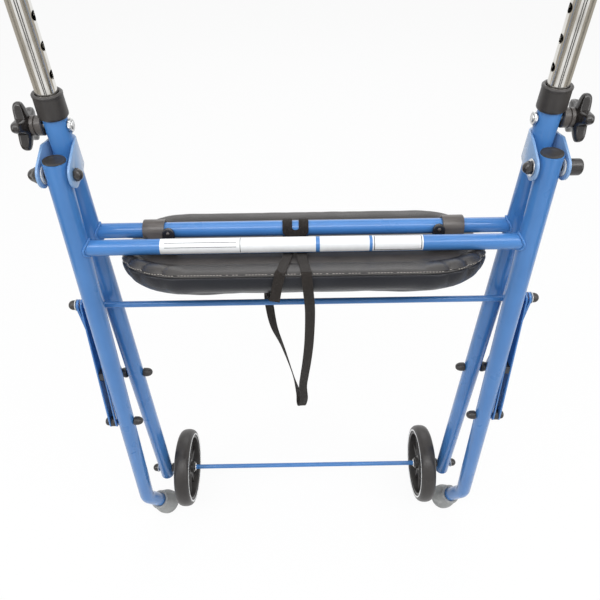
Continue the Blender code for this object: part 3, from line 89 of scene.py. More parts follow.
class Tree:
    # adds nodes to a tree; their inputs take plain values or a Wire
    def __init__(self, tree):
        self.tree = tree

    def feed(self, socket, value):
        if isinstance(value, Wire):
            self.tree.links.new(value.socket, socket)
        elif socket.type == "RGBA":
            socket.default_value = (*value, 1.0)
        else:
            socket.default_value = value

    def node(self, kind, settings=None, inputs=None, output=0):
        made = self.tree.nodes.new(kind)
        for key, value in (settings or {}).items():
            setattr(made, key, value)
        for key, value in (inputs or {}).items():
            self.feed(made.inputs[key], value)
        return Wire(self, made.outputs[output])

    def end(self, kind, wire):
        self.feed(self.tree.nodes.new(kind).inputs[0], wire)


def emptyTree(owner):
    owner.use_nodes = True
    owner.node_tree.nodes.clear()
    return Tree(owner.node_tree)


class Look(Tree):
    # one material; keyword values are set on the shader's own sockets
    def __init__(self, name, **values):
        self.material = bpy.data.materials.new(name)
        self.material.use_nodes = True
        super().__init__(self.material.node_tree)
        self.fill(**values)

    def fill(self, **values):
        sockets = self.tree.nodes["Principled BSDF"].inputs
        for name, value in values.items():
            self.feed(sockets[name.replace("_", " ")], value)

    def place(self, scale=(1, 1, 1)):
        spot = self.node("ShaderNodeTexCoord", output="Object")
        return self.node("ShaderNodeMapping", {}, {"Vector": spot, "Scale": scale})

    def sheetPlace(self, name):
        spot = self.node("ShaderNodeUVMap", {"uv_map": name})
        split = self.node("ShaderNodeSeparateXYZ", {}, {0: spot})
        return split, split.other(1)

    def noise(self, scale, detail, stretch=(1, 1, 1), rough=0.5):
        inputs = {"Scale": scale, "Detail": detail, "Roughness": rough, "Vector": self.place(stretch)}
        return self.node("ShaderNodeTexNoise", {}, inputs)

    def spread(self, value, low, high, start=0.0, end=1.0):
        inputs = {"Value": value, "From Min": low, "From Max": high, "To Min": start, "To Max": end}
        return self.node("ShaderNodeMapRange", {"clamp": True}, inputs)

    def blend(self, factor, first, second):
        return self.node("ShaderNodeMix", {"data_type": "RGBA"}, {0: factor, 6: first, 7: second}, 2)

    def mix(self, field, first, second, low=0.3, high=0.7):
        return self.blend(self.spread(field, low, high), first, second)

    def bump(self, height, distance, strength):
        inputs = {"Height": height, "Distance": distance, "Strength": strength}
        return self.node("ShaderNodeBump", {}, inputs)

    def dress(self, colour, rough, height, distance, strength, under=None):
        bump = self.bump(height, distance, strength)
        if under:
            self.feed(bump.socket.node.inputs["Normal"], under)
        self.fill(Base_Color=colour, Roughness=rough, Normal=bump)
        return self.material


# Finishes

def paintFinish(name, tone, shade):
    look = Look(name, Coat_Weight=0.55, Coat_Roughness=0.08, Specular_IOR_Level=0.2)
    colour = look.mix(look.noise(14.0, 3.0), tone, shade)
    rough = look.spread(look.noise(30.0, 2.0), 0.25, 0.75, 0.26, 0.32)
    return look.dress(colour, rough, look.noise(60.0, 0.0), 0.00001, 0.05)


def chromeFinish():
    look = Look("chromePlate", Metallic=1.0)
    # long drawn marks run with the tube, and smudges lie over them
    drawn = look.noise(90.0, 3.0, (1.0, 1.0, 0.05))
    smudge = look.noise(34.0, 5.0)
    # darker brown-grey patches stretched along the tube are painted reflection of dark surroundings; they are
    # a little rougher too
    reflectedStreaks = look.spread(look.noise(75.0, 4.0, (1.0, 1.0, 0.4)), 0.52, 0.70)
    colour = look.mix(smudge, (0.80, 0.79, 0.76), (0.70, 0.68, 0.64), 0.35, 0.7)
    colour = look.blend(reflectedStreaks * 0.55, colour, (0.46, 0.44, 0.40))
    rough = look.spread(smudge, 0.3, 0.75, 0.05, 0.17) + reflectedStreaks * 0.05
    return look.dress(colour, rough, drawn, 0.00005, 0.35)


def zincFinish():
    look = Look("zincPlate", Metallic=1.0)
    cloud = look.noise(160.0, 4.0)
    colour = look.mix(cloud, (0.72, 0.73, 0.74), (0.54, 0.54, 0.53))
    return look.dress(colour, look.spread(cloud, 0.3, 0.7, 0.22, 0.36), cloud, 0.00005, 0.3)


def plasticFinish(name, dark, light, roughness, grain, depth, shine=0.5):
    look = Look(name, Specular_IOR_Level=shine)
    drift = look.noise(38.0, 4.0)
    scuff = look.spread(look.noise(120.0, 5.0), 0.58, 0.8)
    rough = look.spread(drift, 0.3, 0.7, *roughness) + scuff * 0.08
    return look.dress(look.mix(drift, dark, light), rough, look.noise(grain, 2.0), depth, 0.6)


def vinylFinish(name, dark, light, shine):
    look = Look(name, Specular_IOR_Level=shine)
    pores = look.node("ShaderNodeTexVoronoi", {"feature": "DISTANCE_TO_EDGE"},
                      {"Vector": look.place(), "Scale": 760.0})
    leather = look.spread(pores, 0.0, 0.16)
    creases = look.noise(46.0, 6.0, (0.5, 1.0, 1.0), 0.6)
    colour = look.mix(look.noise(9.0, 3.0), dark, light, 0.45, 0.75)
    rough = look.spread(creases, 0.3, 0.75, 0.26, 0.42) + (1 - leather) * 0.06
    return look.dress(colour, rough, creases, 0.0011, 0.42, look.bump(leather, 0.00012, 0.55))


def rubberFinish(name, dark, light, roughness, speck):
    look = Look(name, Specular_IOR_Level=0.42)
    cloud = look.noise(26.0, 5.0)
    dust = look.spread(look.noise(speck, 6.0, rough=0.7), 0.54, 0.72)
    dusty = tuple(min(1.0, part * 1.7) for part in light)
    colour = look.blend(dust * 0.35, look.mix(cloud, dark, light), dusty)
    rough = look.spread(cloud, 0.3, 0.7, *roughness)
    return look.dress(colour, rough, look.noise(900.0, 3.0), 0.00008, 0.5)


weave = {"cords": 11, "pick": 0.0016}


def webbingFinish():
    # rows of picks run across the band; each cord rises and dips from row to row
    look = Look("strapWebbing", Sheen_Weight=0.06, Sheen_Roughness=0.5, Specular_IOR_Level=0.2)
    across, along = look.sheetPlace("weave")
    cords = (across * (2 * math.pi * weave["cords"])).sine()
    rows = (along * (2 * math.pi / weave["pick"])).sine()
    height = look.spread(cords * rows, -1.0, 1.0)
    fluff = look.noise(2600.0, 3.0)
    pile = look.spread(look.noise(520.0, 4.0, rough=0.7), 0.50, 0.66)
    # the colour follows the weave's height, so painted shade darkens the dips between the cords
    colour = look.blend(height, (0.011, 0.009, 0.008), (0.030, 0.025, 0.022))
    colour = look.blend(pile * 0.4, colour, (0.060, 0.051, 0.045))
    rough = look.spread(fluff, 0.3, 0.7, 0.78, 0.95)
    return look.dress(colour, rough, height + fluff * 0.5, 0.0004, 0.8)


def threadFinish():
    look = Look("seamThread", Specular_IOR_Level=0.5)
    ply = look.noise(2200.0, 2.0)
    colour = look.blend(ply, (0.22, 0.20, 0.18), (0.50, 0.47, 0.43))
    return look.dress(colour, look.spread(ply, 0.3, 0.7, 0.35, 0.6), ply, 0.0001, 0.6)


labelPrint = {"paper": (0.80, 0.81, 0.82), "shade": (0.74, 0.75, 0.76), "ink": (0.03, 0.03, 0.035),
              "line": 0.00035, "inset": 0.0022}


def labelFinish(name, length, girth, rules, boxed):
    # blank sheet with plain rules: rules are (direction, place, from, to) as shares of the label
    look = Look(name, Coat_Weight=0.2, Coat_Roughness=0.12)
    across, up = look.sheetPlace("sheet")
    line = labelPrint["line"]
    inset = labelPrint["inset"]
    marks = []
    for direction, place, start, end in rules:
        main, other, size = (up, across, girth) if direction == "across" else (across, up, length)
        marks.append(((main - place).absolute() < line / size) * (other > start) * (other < end))
    if boxed:
        flat = (across - 0.5).absolute() * length - (length / 2 - inset)
        tall = (up - 0.5).absolute() * girth - (girth / 2 - inset)
        marks.append(flat.larger(tall).absolute() < line * 1.3)
    cloud = look.noise(70.0, 3.0)
    colour = look.mix(cloud, labelPrint["paper"], labelPrint["shade"])
    if marks:
        colour = look.blend(functools.reduce(Wire.larger, marks), colour, labelPrint["ink"])
    return look.dress(colour, look.spread(cloud, 0.3, 0.7, 0.28, 0.4), cloud, 0.00003, 0.3)


# dark and light colour, roughness from and to, grain, its depth and the shine
plastics = {
    "plastic": ("mouldedPlastic", (0.026, 0.023, 0.022), (0.040, 0.036, 0.034), (0.36, 0.46), 700.0, 0.00008),
    "gloss": ("knobPlastic", (0.014, 0.012, 0.011), (0.023, 0.020, 0.019), (0.16, 0.25), 260.0, 0.00004, 0.6),
    "hub": ("knobHubPlastic", (0.062, 0.054, 0.050), (0.088, 0.078, 0.072), (0.30, 0.40), 600.0, 0.00006),
    "line": ("whiteLine", (0.86, 0.86, 0.85), (0.78, 0.78, 0.77), (0.35, 0.45), 400.0, 0.00004),
    "stop": ("staySleeve", (0.018, 0.020, 0.026), (0.030, 0.033, 0.042), (0.38, 0.48), 600.0, 0.00005),
    "board": ("boardPlastic", (0.040, 0.036, 0.034), (0.058, 0.052, 0.049), (0.40, 0.50), 1100.0, 0.00012),
    "rim": ("wheelPlastic", (0.020, 0.018, 0.017), (0.034, 0.031, 0.029), (0.30, 0.42), 500.0, 0.00006),
    "nylon": ("nylonWhite", (0.72, 0.72, 0.70), (0.62, 0.62, 0.60), (0.30, 0.42), 500.0, 0.00005),
    "grip": ("gripFoam", (0.022, 0.021, 0.021), (0.036, 0.034, 0.033), (0.62, 0.74), 1300.0, 0.00022),
    "clip": ("clipPlastic", (0.070, 0.060, 0.055), (0.100, 0.088, 0.080), (0.28, 0.38), 500.0, 0.00007),
    # the channel's grey strip is painted reflection, a flat pale grey in place of reflected light
    "reflectionStrip": ("channelReflectionStrip", (0.230, 0.225, 0.220), (0.300, 0.295, 0.285), (0.40, 0.50), 500.0, 0.00005),
}
finishes = {key: plasticFinish(*facts) for key, facts in plastics.items()}
finishes.update({
    "paint": paintFinish("bluePaint", (0.066, 0.216, 0.520), (0.053, 0.188, 0.470)),
    "bracketPaint": paintFinish("bracketPaint", (0.178, 0.322, 0.550), (0.208, 0.350, 0.585)),
    "chrome": chromeFinish(),
    "zinc": zincFinish(),
    # the cushion's wall takes a darker, bluer, less shiny copy of the hem's vinyl: painted shade on the side
    # that faces down, away from the lamps
    "vinyl": vinylFinish("hemVinyl", (0.021, 0.019, 0.019), (0.038, 0.034, 0.032), 0.55),
    "wall": vinylFinish("cushionVinylShadedCopy", (0.009, 0.010, 0.014), (0.017, 0.018, 0.023), 0.30),
    "tyre": rubberFinish("tyreRubber", (0.026, 0.023, 0.022), (0.040, 0.036, 0.034), (0.30, 0.42), 90.0),
    "tip": rubberFinish("tipRubber", (0.285, 0.292, 0.288), (0.365, 0.370, 0.360), (0.55, 0.7), 70.0),
    "webbing": webbingFinish(),
    "thread": threadFinish(),
})
print("finishes made")


# Mesh helpers

def crossFrame(direction, hint=zAxis):
    direction = direction.normalized()
    if abs(direction.dot(hint)) > 0.95:
        hint = yAxis
    first = (hint - direction * hint.dot(direction)).normalized()
    return first, direction.cross(first)


def stand(place, axes):
    return Matrix.Translation(place) @ Matrix(axes).transposed().to_4x4()


def inPlane(vector, direction):
    # the vector's share across a direction, as a unit
    return (vector - direction * vector.dot(direction)).normalized()


def onCentre(point):
    return Vector((0, point.y, point.z))


def ringOf(steps, place):
    # points at even turns, from a function of the angle
    return [place(2 * math.pi * step / steps) for step in range(steps)]


def roundRing(centre, first, second, radius, steps):
    return ringOf(steps, lambda turn: centre + first * (radius * math.cos(turn))
                  + second * (radius * math.sin(turn)))


def shapedRing(centre, first, second, steps, reachAt):
    # points round a centre, as far out as a function of the angle says
    def place(turn):
        return centre + (first * math.cos(turn) + second * math.sin(turn)) * reachAt(turn)

    return ringOf(steps, place)


def foldTurn(turn, count):
    # the angle from the nearest of so many even directions
    pitch = 2 * math.pi / count
    return (turn + pitch / 2) % pitch - pitch / 2


def directionAt(points, index, closed=False):
    last = len(points) - 1
    before = points[index - 1] if closed else points[max(index - 1, 0)]
    after = points[(index + 1) % len(points)] if closed else points[min(index + 1, last)]
    return (after - before).normalized()


def meshFromBmesh(shape):
    bmesh.ops.recalc_face_normals(shape, faces=shape.faces)
    mesh = bpy.data.meshes.new("shape")
    shape.to_mesh(mesh)
    shape.free()
    return mesh


def meshFromRings(rings, loop=False, capped=False):
    # each ring is a list of points, and a list of one point is a pole
    shape = bmesh.new()
    made = [[shape.verts.new(point) for point in ring] for ring in rings]
    pairs = list(zip(made, made[1:]))
    if loop:
        pairs.append((made[-1], made[0]))
    for near, far in pairs:
        count = max(len(near), len(far))
        for step in range(count):
            after = (step + 1) % count
            corners = (near[step % len(near)], near[after % len(near)],
                       far[after % len(far)], far[step % len(far)])
            corners = list(dict.fromkeys(corners))
            if len(corners) > 2:
                shape.faces.new(corners)
    if capped:
        shape.faces.new(made[0])
        shape.faces.new(made[-1])
    return meshFromBmesh(shape)


def joined(meshes):
    whole = bmesh.new()
    for mesh in meshes:
        whole.from_mesh(mesh)
    return meshFromBmesh(whole)


def lathe(profile, base, direction, steps=32, loop=False):
    # profile holds (distance along the axis, radius); a radius of 0 is a pole
    first, second = crossFrame(direction)
    rings = []
    for along, radius in profile:
        centre = base + direction * along
        rings.append(roundRing(centre, first, second, radius, steps) if radius > 0 else [centre])
    return meshFromRings(rings, loop)


def shifted(start, radius, *points):
    # profile points given from a place along the axis and from a radius
    return [(start + along, radius + out) for along, out in points]


def shaft(start, end, radius):
    return [(start, 0), (start, radius), (end, radius), (end, 0)]


def roundedProfile(profile, radius=0.0006, steps=3):
    # eases each corner of a lathe profile with a short arc
    eased = [profile[0]]
    for before, here, after in zip(profile, profile[1:], profile[2:]):
        back = Vector(before) - Vector(here)
        ahead = Vector(after) - Vector(here)
        reach = min(radius, back.length * 0.45, ahead.length * 0.45)
        if reach < 1e-6 or abs(back.normalized().dot(ahead.normalized())) > 0.985:
            eased.append(here)
            continue
        start = Vector(here) + back.normalized() * reach
        end = Vector(here) + ahead.normalized() * reach
        for step in range(steps + 1):
            t = step / steps
            point = start * (1 - t) ** 2 + Vector(here) * (2 * t * (1 - t)) + end * t ** 2
            eased.append((point.x, max(point.y, 0.0)))
    eased.append(profile[-1])
    return eased


def latheAll(profiles, base, direction):
    return joined([lathe(roundedProfile(profile, 0.0004), base, direction) for profile in profiles])


def bentPath(start, corner, end, radius, steps):
    # two straights in short spans, joined by an arc that touches both
    spans = 12
    back = (start - corner).normalized()
    ahead = (end - corner).normalized()
    half = back.angle(ahead) / 2
    reach = radius / math.tan(half)
    middle = corner + (back + ahead).normalized() * (radius / math.sin(half))
    first = corner + back * reach - middle
    last = corner + ahead * reach - middle
    path = [start.lerp(middle + first, step / spans) for step in range(spans)]
    whole = first.angle(last)
    for step in range(steps + 1):
        t = step / steps
        arm = first * (math.sin((1 - t) * whole) / math.sin(whole))
        path.append(middle + (arm + last * (math.sin(t * whole) / math.sin(whole))))
    return path + [(middle + last).lerp(end, (step + 1) / spans) for step in range(spans)]


def pipeMesh(path, outer, wall, steps):
    # a bent tube, whose rings are carried along the path without twist
    outside = []
    inside = []
    side = crossFrame(directionAt(path, 0), xAxis)[0]
    for index, point in enumerate(path):
        along = directionAt(path, index)
        side = inPlane(side, along)
        outside.append(roundRing(point, side, along.cross(side), outer, steps))
        inside.append(roundRing(point, side, along.cross(side), outer - wall, steps))
    return meshFromRings(outside + inside[::-1], loop=True)


def looseObject(name, data):
    piece = bpy.data.objects.new(name, data)
    bpy.context.scene.collection.objects.link(piece)
    return piece


def addModifier(piece, kind, **settings):
    modifier = piece.modifiers.new(kind.lower(), kind)
    for key, value in settings.items():
        setattr(modifier, key, value)
    return modifier


def settle(piece):
    # the modifiers' result becomes the piece's own mesh
    bpy.context.view_layer.update()
    depsgraph = bpy.context.evaluated_depsgraph_get()
    mesh = bpy.data.meshes.new_from_object(piece.evaluated_get(depsgraph))
    piece.modifiers.clear()
    piece.data = mesh


def takeMesh(piece):
    settle(piece)
    mesh = piece.data
    bpy.data.objects.remove(piece)
    return mesh


def modified(mesh, kind, **settings):
    piece = looseObject("work", mesh)
    addModifier(piece, kind, **settings)
    return takeMesh(piece)


def bevelled(mesh, width, segments=2):
    return modified(mesh, "BEVEL", width=width, segments=segments, limit_method="ANGLE",
                    angle_limit=math.radians(38.0))


def cutAway(mesh, cutterMesh):
    cutter = looseObject("cutter", cutterMesh)
    result = modified(mesh, "BOOLEAN", operation="DIFFERENCE", solver="EXACT", object=cutter)
    bpy.data.objects.remove(cutter)
    return result


def blockMesh(centre, axes, size):
    block = bmesh.new()
    bmesh.ops.create_cube(block, size=1.0)
    block.transform(stand(centre, axes) @ Matrix.Diagonal((*size, 1)))
    return meshFromBmesh(block)


def cadCopy(node, width):
    # the CAD piece with its triangles merged and its edges eased
    shape = bmesh.new()
    shape.from_mesh(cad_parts[node].data)
    bmesh.ops.remove_doubles(shape, verts=shape.verts, dist=0.000012)
    bmesh.ops.dissolve_limit(shape, angle_limit=math.radians(1.5), verts=shape.verts, edges=shape.edges)
    return bevelled(meshFromBmesh(shape), width)


def addPiece(name, label, mesh, finish, body, node=None, smooth=34.0, slot=None):
    # label is the piece's side, or nothing where there is only one
    ending = f"_{label}" if label else ""
    mesh.materials.clear()
    mesh.materials.append(finishes.get(finish, finish))
    for face in mesh.polygons:
        face.use_smooth = True
        face.material_index = 0
    mesh.set_sharp_from_angle(angle=math.radians(smooth))
    piece = looseObject(name + ending, mesh)
    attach(piece, body)
    if node:
        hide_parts(node + ending)
    return piece


def addTurned(name, label, profile, base, direction, finish, body, node=None, steps=36, loop=True, **more):
    addPiece(name, label, lathe(profile, base, direction, steps, loop), finish, body, node, **more)


# Geometry Nodes helpers

class Grower(Tree):
    # builds one node tree with named inputs, and runs it on a mesh
    def __init__(self, name, **inputs):
        super().__init__(bpy.data.node_groups.new(name, "GeometryNodeTree"))
        inputs = {"geometry": "Geometry", **inputs, "material": "Material"}
        self.tree.interface.new_socket("geometry", in_out="OUTPUT", socket_type="NodeSocketGeometry")
        for label, kind in inputs.items():
            self.tree.interface.new_socket(label, in_out="INPUT", socket_type=f"NodeSocket{kind}")
        start = self.tree.nodes.new("NodeGroupInput")
        self.given = {label: Wire(self, start.outputs[label]) for label in inputs}

    def xyz(self, x=0.0, y=0.0, z=0.0):
        return self.node("ShaderNodeCombineXYZ", {}, {0: x, 1: y, 2: z})

    def close(self, points, instance, turn, **more):
        inputs = {"Points": points, "Instance": instance, "Rotation": turn, **more}
        laid = self.node("GeometryNodeInstanceOnPoints", {}, inputs)
        real = self.node("GeometryNodeRealizeInstances", {}, {0: laid})
        inputs = {"Geometry": real, "Material": self.given["material"]}
        self.end("NodeGroupOutput", self.node("GeometryNodeSetMaterial", {}, inputs))
        return self

    def grow(self, mesh, finish, **values):
        piece = looseObject("growWork", mesh)
        modifier = addModifier(piece, "NODES", node_group=self.tree)
        values["material"] = finishes[finish]
        for item in self.tree.interface.items_tree:
            if item.in_out == "INPUT" and item.name in values:
                modifier[item.identifier] = values[item.name]
        return takeMesh(piece)


def beadsAlongPath():
    # small rounded lozenges laid along an edge path: stitches and weld ripples
    grower = Grower("beadsAlongPath", pitch="Float", length="Float", width="Float", height="Float",
                    share="Float", seed="Int")
    given = grower.given
    curve = grower.node("GeometryNodeMeshToCurve", {}, {0: given["geometry"]})
    even = grower.node("GeometryNodeResampleCurve", {"mode": "LENGTH"},
                       {"Curve": curve, "Length": given["pitch"]})
    spots = grower.node("GeometryNodeCurveToPoints", {"mode": "EVALUATED"}, {0: even})
    turn = grower.node("FunctionNodeAlignRotationToVector", {"axis": "Z"}, {"Vector": spots.other("Tangent")})
    bead = grower.node("GeometryNodeMeshUVSphere", {}, {"Segments": 8, "Rings": 5, "Radius": 0.5})
    shown = grower.node("FunctionNodeRandomValue", {"data_type": "BOOLEAN"},
                        {"Probability": given["share"], "Seed": given["seed"]}, 3)
    size = grower.xyz(given["width"], given["height"], given["length"])
    return grower.close(spots, bead, turn, Selection=shown, Scale=size)


def ribsRoundHub():
    # tapered ribs that stand round a wheel's middle, with its axis on Z
    grower = Grower("ribsRoundHub", count="Int", inner="Float", outer="Float", root="Float", tip="Float",
                    depth="Float")
    given = grower.given
    rib = grower.node("GeometryNodeMeshCone", {},
                      {"Vertices": 14, "Radius Top": given["tip"], "Radius Bottom": given["root"],
                       "Depth": given["outer"] - given["inner"]})
    squat = grower.xyz(given["depth"] / given["root"], 1.0, 1.0)
    lying = grower.node("GeometryNodeTransform", {}, {"Geometry": rib, "Scale": squat})
    tipped = grower.node("GeometryNodeTransform", {},
                         {"Geometry": lying, "Translation": grower.xyz(given["inner"]),
                          "Rotation": (0.0, math.pi / 2, 0.0)})
    spots = grower.node("GeometryNodeMeshCircle", {}, {"Vertices": given["count"], "Radius": 0.0001})
    number = grower.node("GeometryNodeInputIndex")
    return grower.close(spots, tipped, grower.xyz(z=number / given["count"] * (2 * math.pi)))


def holeRow():
    # a row of round pegs on Z, used to cut a tube's height holes
    grower = Grower("holeRow", count="Int", pitch="Float", radius="Float", length="Float")
    given = grower.given
    row = grower.node("GeometryNodeMeshLine", {"mode": "OFFSET"},
                      {"Count": given["count"], "Offset": grower.xyz(z=given["pitch"])})
    peg = grower.node("GeometryNodeMeshCylinder", {},
                      {"Vertices": 28, "Radius": given["radius"], "Depth": given["length"]})
    return grower.close(row, peg, (0.0, math.pi / 2, 0.0))


beads = beadsAlongPath()
ribs = ribsRoundHub()
pegs = holeRow()


def pathMesh(points, closed=False):
    edges = [(index, index + 1) for index in range(len(points) - 1)]
    if closed:
        edges.append((len(points) - 1, 0))
    mesh = bpy.data.meshes.new("path")
    mesh.from_pydata([tuple(point) for point in points], edges, [])
    return mesh


# Camera, light and floor

photoView = {"place": (-0.0088, -0.52863, 1.09162), "ahead": (0.004386, 0.734674, -0.678406),
             "right": (0.999853, -0.014450, -0.009183), "lens": 32.4, "sensor": 36.0}


def placeCamera():
    ahead = Vector(photoView["ahead"]).normalized()
    right = inPlane(Vector(photoView["right"]), ahead)
    data = bpy.data.cameras.new("photoCamera")
    data.lens = photoView["lens"]
    data.sensor_width = photoView["sensor"]
    data.sensor_fit = "HORIZONTAL"
    data.clip_start = 0.01
    camera = looseObject("photoCamera", data)
    camera.matrix_world = stand(Vector(photoView["place"]), (right, right.cross(ahead), -ahead))
    bpy.context.scene.camera = camera


# size, place, what it faces, and power
studio = {
    "overhead": ((3.0, 2.4), (0.0, -0.5, 2.5), (0.0, 0.0, 0.5), 30.0),
    "slim": ((2.0, 0.30), (0.0, -1.05, 2.2), (0.0, 0.0, 0.7), 11.0),
    "leftStrip": ((0.60, 2.0), (-1.7, -0.9, 1.7), (0.0, 0.0, 0.5), 11.0),
    "rightStrip": ((0.60, 2.0), (1.7, -0.9, 1.7), (0.0, 0.0, 0.5), 11.0),
    "back": ((2.4, 1.4), (0.3, 2.6, 1.9), (0.0, 0.0, 0.5), 13.0),
}
surround = {"fill": 0.44, "fillTone": (0.98, 0.99, 1.0), "white": (1.0, 1.0, 1.0),
            "floorTone": (0.90, 0.90, 0.90), "floorGlow": 0.92, "floorSize": 9.0}


def addSoftbox(name, size, place, aim, power):
    data = bpy.data.lights.new(name, "AREA")
    data.shape = "RECTANGLE"
    data.size, data.size_y = size
    data.energy = power
    lamp = looseObject(name, data)
    turn = (Vector(aim) - Vector(place)).to_track_quat("-Z", "Y").to_matrix().to_4x4()
    lamp.matrix_world = Matrix.Translation(Vector(place)) @ turn
    lamp.visible_camera = False


def seenDirectly(tree):
    # 1 for rays that show the background: to the camera, in a reflection or through glass
    rays = tree.node("ShaderNodeLightPath")
    return functools.reduce(Wire.larger, [rays.other(f"Is {kind} Ray")
                                          for kind in ("Camera", "Glossy", "Transmission")])


def lightTheStage():
    world = bpy.data.worlds.new("softWorld")
    bpy.context.scene.world = world
    tree = emptyTree(world)
    fill = tree.node("ShaderNodeBackground", {},
                     {"Color": surround["fillTone"], "Strength": surround["fill"]})
    plain = tree.node("ShaderNodeBackground", {}, {"Color": surround["white"]})
    mixed = tree.node("ShaderNodeMixShader", {}, {0: seenDirectly(tree), 1: fill, 2: plain})
    tree.end("ShaderNodeOutputWorld", mixed)
    for name, facts in studio.items():
        addSoftbox(f"{name}Softbox", *facts)


def layFloor():
    half = surround["floorSize"]
    mesh = bpy.data.meshes.new("floor")
    corners = [(-half, -half, 0), (half, -half, 0), (half, half, 0), (-half, half, 0)]
    mesh.from_pydata(corners, [], [(0, 1, 2, 3)])
    material = bpy.data.materials.new("paleFloor")
    tree = emptyTree(material)
    matt = tree.node("ShaderNodeBsdfDiffuse", {}, {"Color": surround["floorTone"]})
    glow = tree.node("ShaderNodeEmission", {}, {"Color": surround["white"]})
    share = seenDirectly(tree) * surround["floorGlow"]
    tree.end("ShaderNodeOutputMaterial", tree.node("ShaderNodeMixShader", {}, {0: share, 1: matt, 2: glow}))
    mesh.materials.append(material)
    looseObject("floor", mesh)


# Dark cards that only reflections see: rings round each handle, by angle from the user's side
cards = {"centre": (0.28, 0.02), "radii": (1.5, 6.0), "height": 0.012, "stepDegrees": 4,
         "arcs": (("thin", 11, 21, (0.10, 0.10, 0.10)), ("inner", 60, 84, (0.15, 0.14, 0.12)),
                  ("outer", -132, -34, (0.46, 0.43, 0.38)))}


def layCard(label, side, name, start, end, tone):
    points = []
    steps = max(2, round(abs(end - start) / cards["stepDegrees"]))
    for radius in cards["radii"]:
        for step in range(steps + 1):
            turn = math.radians(start + (end - start) * step / steps)
            x = side * (cards["centre"][0] - radius * math.sin(turn))
            points.append((x, cards["centre"][1] - radius * math.cos(turn), cards["height"]))
    faces = [(step, step + 1, steps + 2 + step, steps + 1 + step) for step in range(steps)]
    mesh = bpy.data.meshes.new("card")
    mesh.from_pydata(points, [], faces)
    look = Look(f"{name}Card", Base_Color=(0, 0, 0), Roughness=1.0, Specular_IOR_Level=0.0,
                Emission_Color=tone, Emission_Strength=1.0)
    mesh.materials.append(look.material)
    card = looseObject(f"{name}Card{label.capitalize()}", mesh)
    for ray in ("camera", "diffuse", "shadow", "transmission"):
        setattr(card, f"visible_{ray}", False)


placeCamera()
lightTheStage()
layFloor()
for label, side in sides:
    for facts in cards["arcs"]:
        layCard(label, side, *facts)
bpy.context.scene.view_settings.view_transform = "Standard"
print("camera, light and floor placed")


# Places that the frame's pieces share. Drops are below the hinge line

hingeLine = Vector((0, -0.01153, 0.80142))
tube = {"outer": 0.0127, "wall": 0.0012, "crossOuter": 0.009525, "crossWall": 0.0015}
legs = {
    "front": {"spread": 0.2617, "splay": 0.0289, "setback": 0.0340, "lean": 0.0413, "top": 0.0727,
              "length": 0.7240},
    "rear": {"spread": 0.2620, "splay": 0.0648, "setback": 0.0, "lean": 0.0, "top": 0.0162,
             "length": 0.7000, "forward": 21.0, "inward": 11.0, "stub": 0.0930, "bend": 0.0550},
}
drops = {"frontCross": 0.1001, "rearCross": 0.0975, "stayRod": 0.2084, "frontStay": 0.3866,
         "rearStay": 0.4488, "axle": 0.7020, "lock": -0.0405}


def legPoint(which, side, drop):
    shape = legs[which]
    across = side * (shape["spread"] + shape["splay"] * drop)
    return hingeLine + Vector((across, shape["setback"] + shape["lean"] * drop, -drop))


def legDown(which, side):
    return (legPoint(which, side, 1.0) - legPoint(which, side, 0.0)).normalized()


def besideLeg(which, drop, sign, radius):
    # X just off a leg's inner or outer face, clear of its slope for a round piece
    shape = legs[which]
    return shape["spread"] + shape["splay"] * drop + sign * (tube["outer"] + gap + shape["splay"] * radius)


# Legs and cross tubes

def makeFrontLeg(label, side):
    shape = legs["front"]
    top = legPoint("front", side, -shape["top"])
    end = legPoint("front", side, shape["length"])
    down = legDown("front", side)
    outer = tube["outer"]
    wall = tube["wall"]
    long = (end - top).length
    # the lower end is spun in over the plug
    profile = shifted(0, outer, (0, -wall), (0.0002, -0.0003), (0.0008, 0))
    profile += [(long * share, outer) for share in (0.2, 0.4, 0.6, 0.8)]
    profile += shifted(long, outer, (-0.0006, 0), (0, -0.0006), (0, -wall))
    addTurned("frontLegTube", label, profile, top, down, "paint", "front_frame", "front_leg", 48)
    dome = [(-0.004, 0)]
    dome += shifted(0, outer, (-0.004, -0.0016), (0.0004, -0.0016), (0.0004, -0.0002), (0.0022, 0),
                    (0.0040, -0.0010), (0.0062, -0.0042))
    dome += [(0.0078, outer * 0.4), (0.0082, 0)]
    addTurned("frontLegEnd", label, roundedProfile(dome), end, down, "paint", "front_frame",
              "front_leg_plug", 48, loop=False, slot="black_plastic")


def footDirection(side):
    forward = math.radians(legs["rear"]["forward"])
    inward = math.radians(legs["rear"]["inward"])
    return Vector((-side * math.sin(inward), math.sin(forward) * math.cos(inward),
                   -math.cos(forward) * math.cos(inward)))


def makeRearLeg(label, side):
    shape = legs["rear"]
    top = legPoint("rear", side, -shape["top"])
    corner = legPoint("rear", side, shape["length"])
    end = corner + footDirection(side) * shape["stub"]
    outer = tube["outer"]
    mesh = pipeMesh(bentPath(top, corner, end, shape["bend"], 14), outer, tube["wall"], 48)
    addPiece("rearLegTube", label, mesh, "paint", "rear_frame", "rear_leg")
    plug = [(0.0080, 0)]
    plug += shifted(0, outer, (0.0080, -0.0017), (-0.0001, -0.0017), (-0.0003, -0.0006),
                    (-0.0012, -0.0009), (-0.0016, -0.0022), (-0.0013, -0.0030))
    plug += [(-0.0018, outer * 0.5), (-0.0020, 0)]
    addTurned("rearLegPlug", label, plug, top, legDown("rear", side), "rim", "rear_frame",
              "rear_leg_plug", 48, loop=False)


weldBead = {"pitch": 0.0021, "length": 0.0036, "width": 0.0034, "height": 0.0034, "share": 1.0, "seed": 1}
weldLift = 0.0008


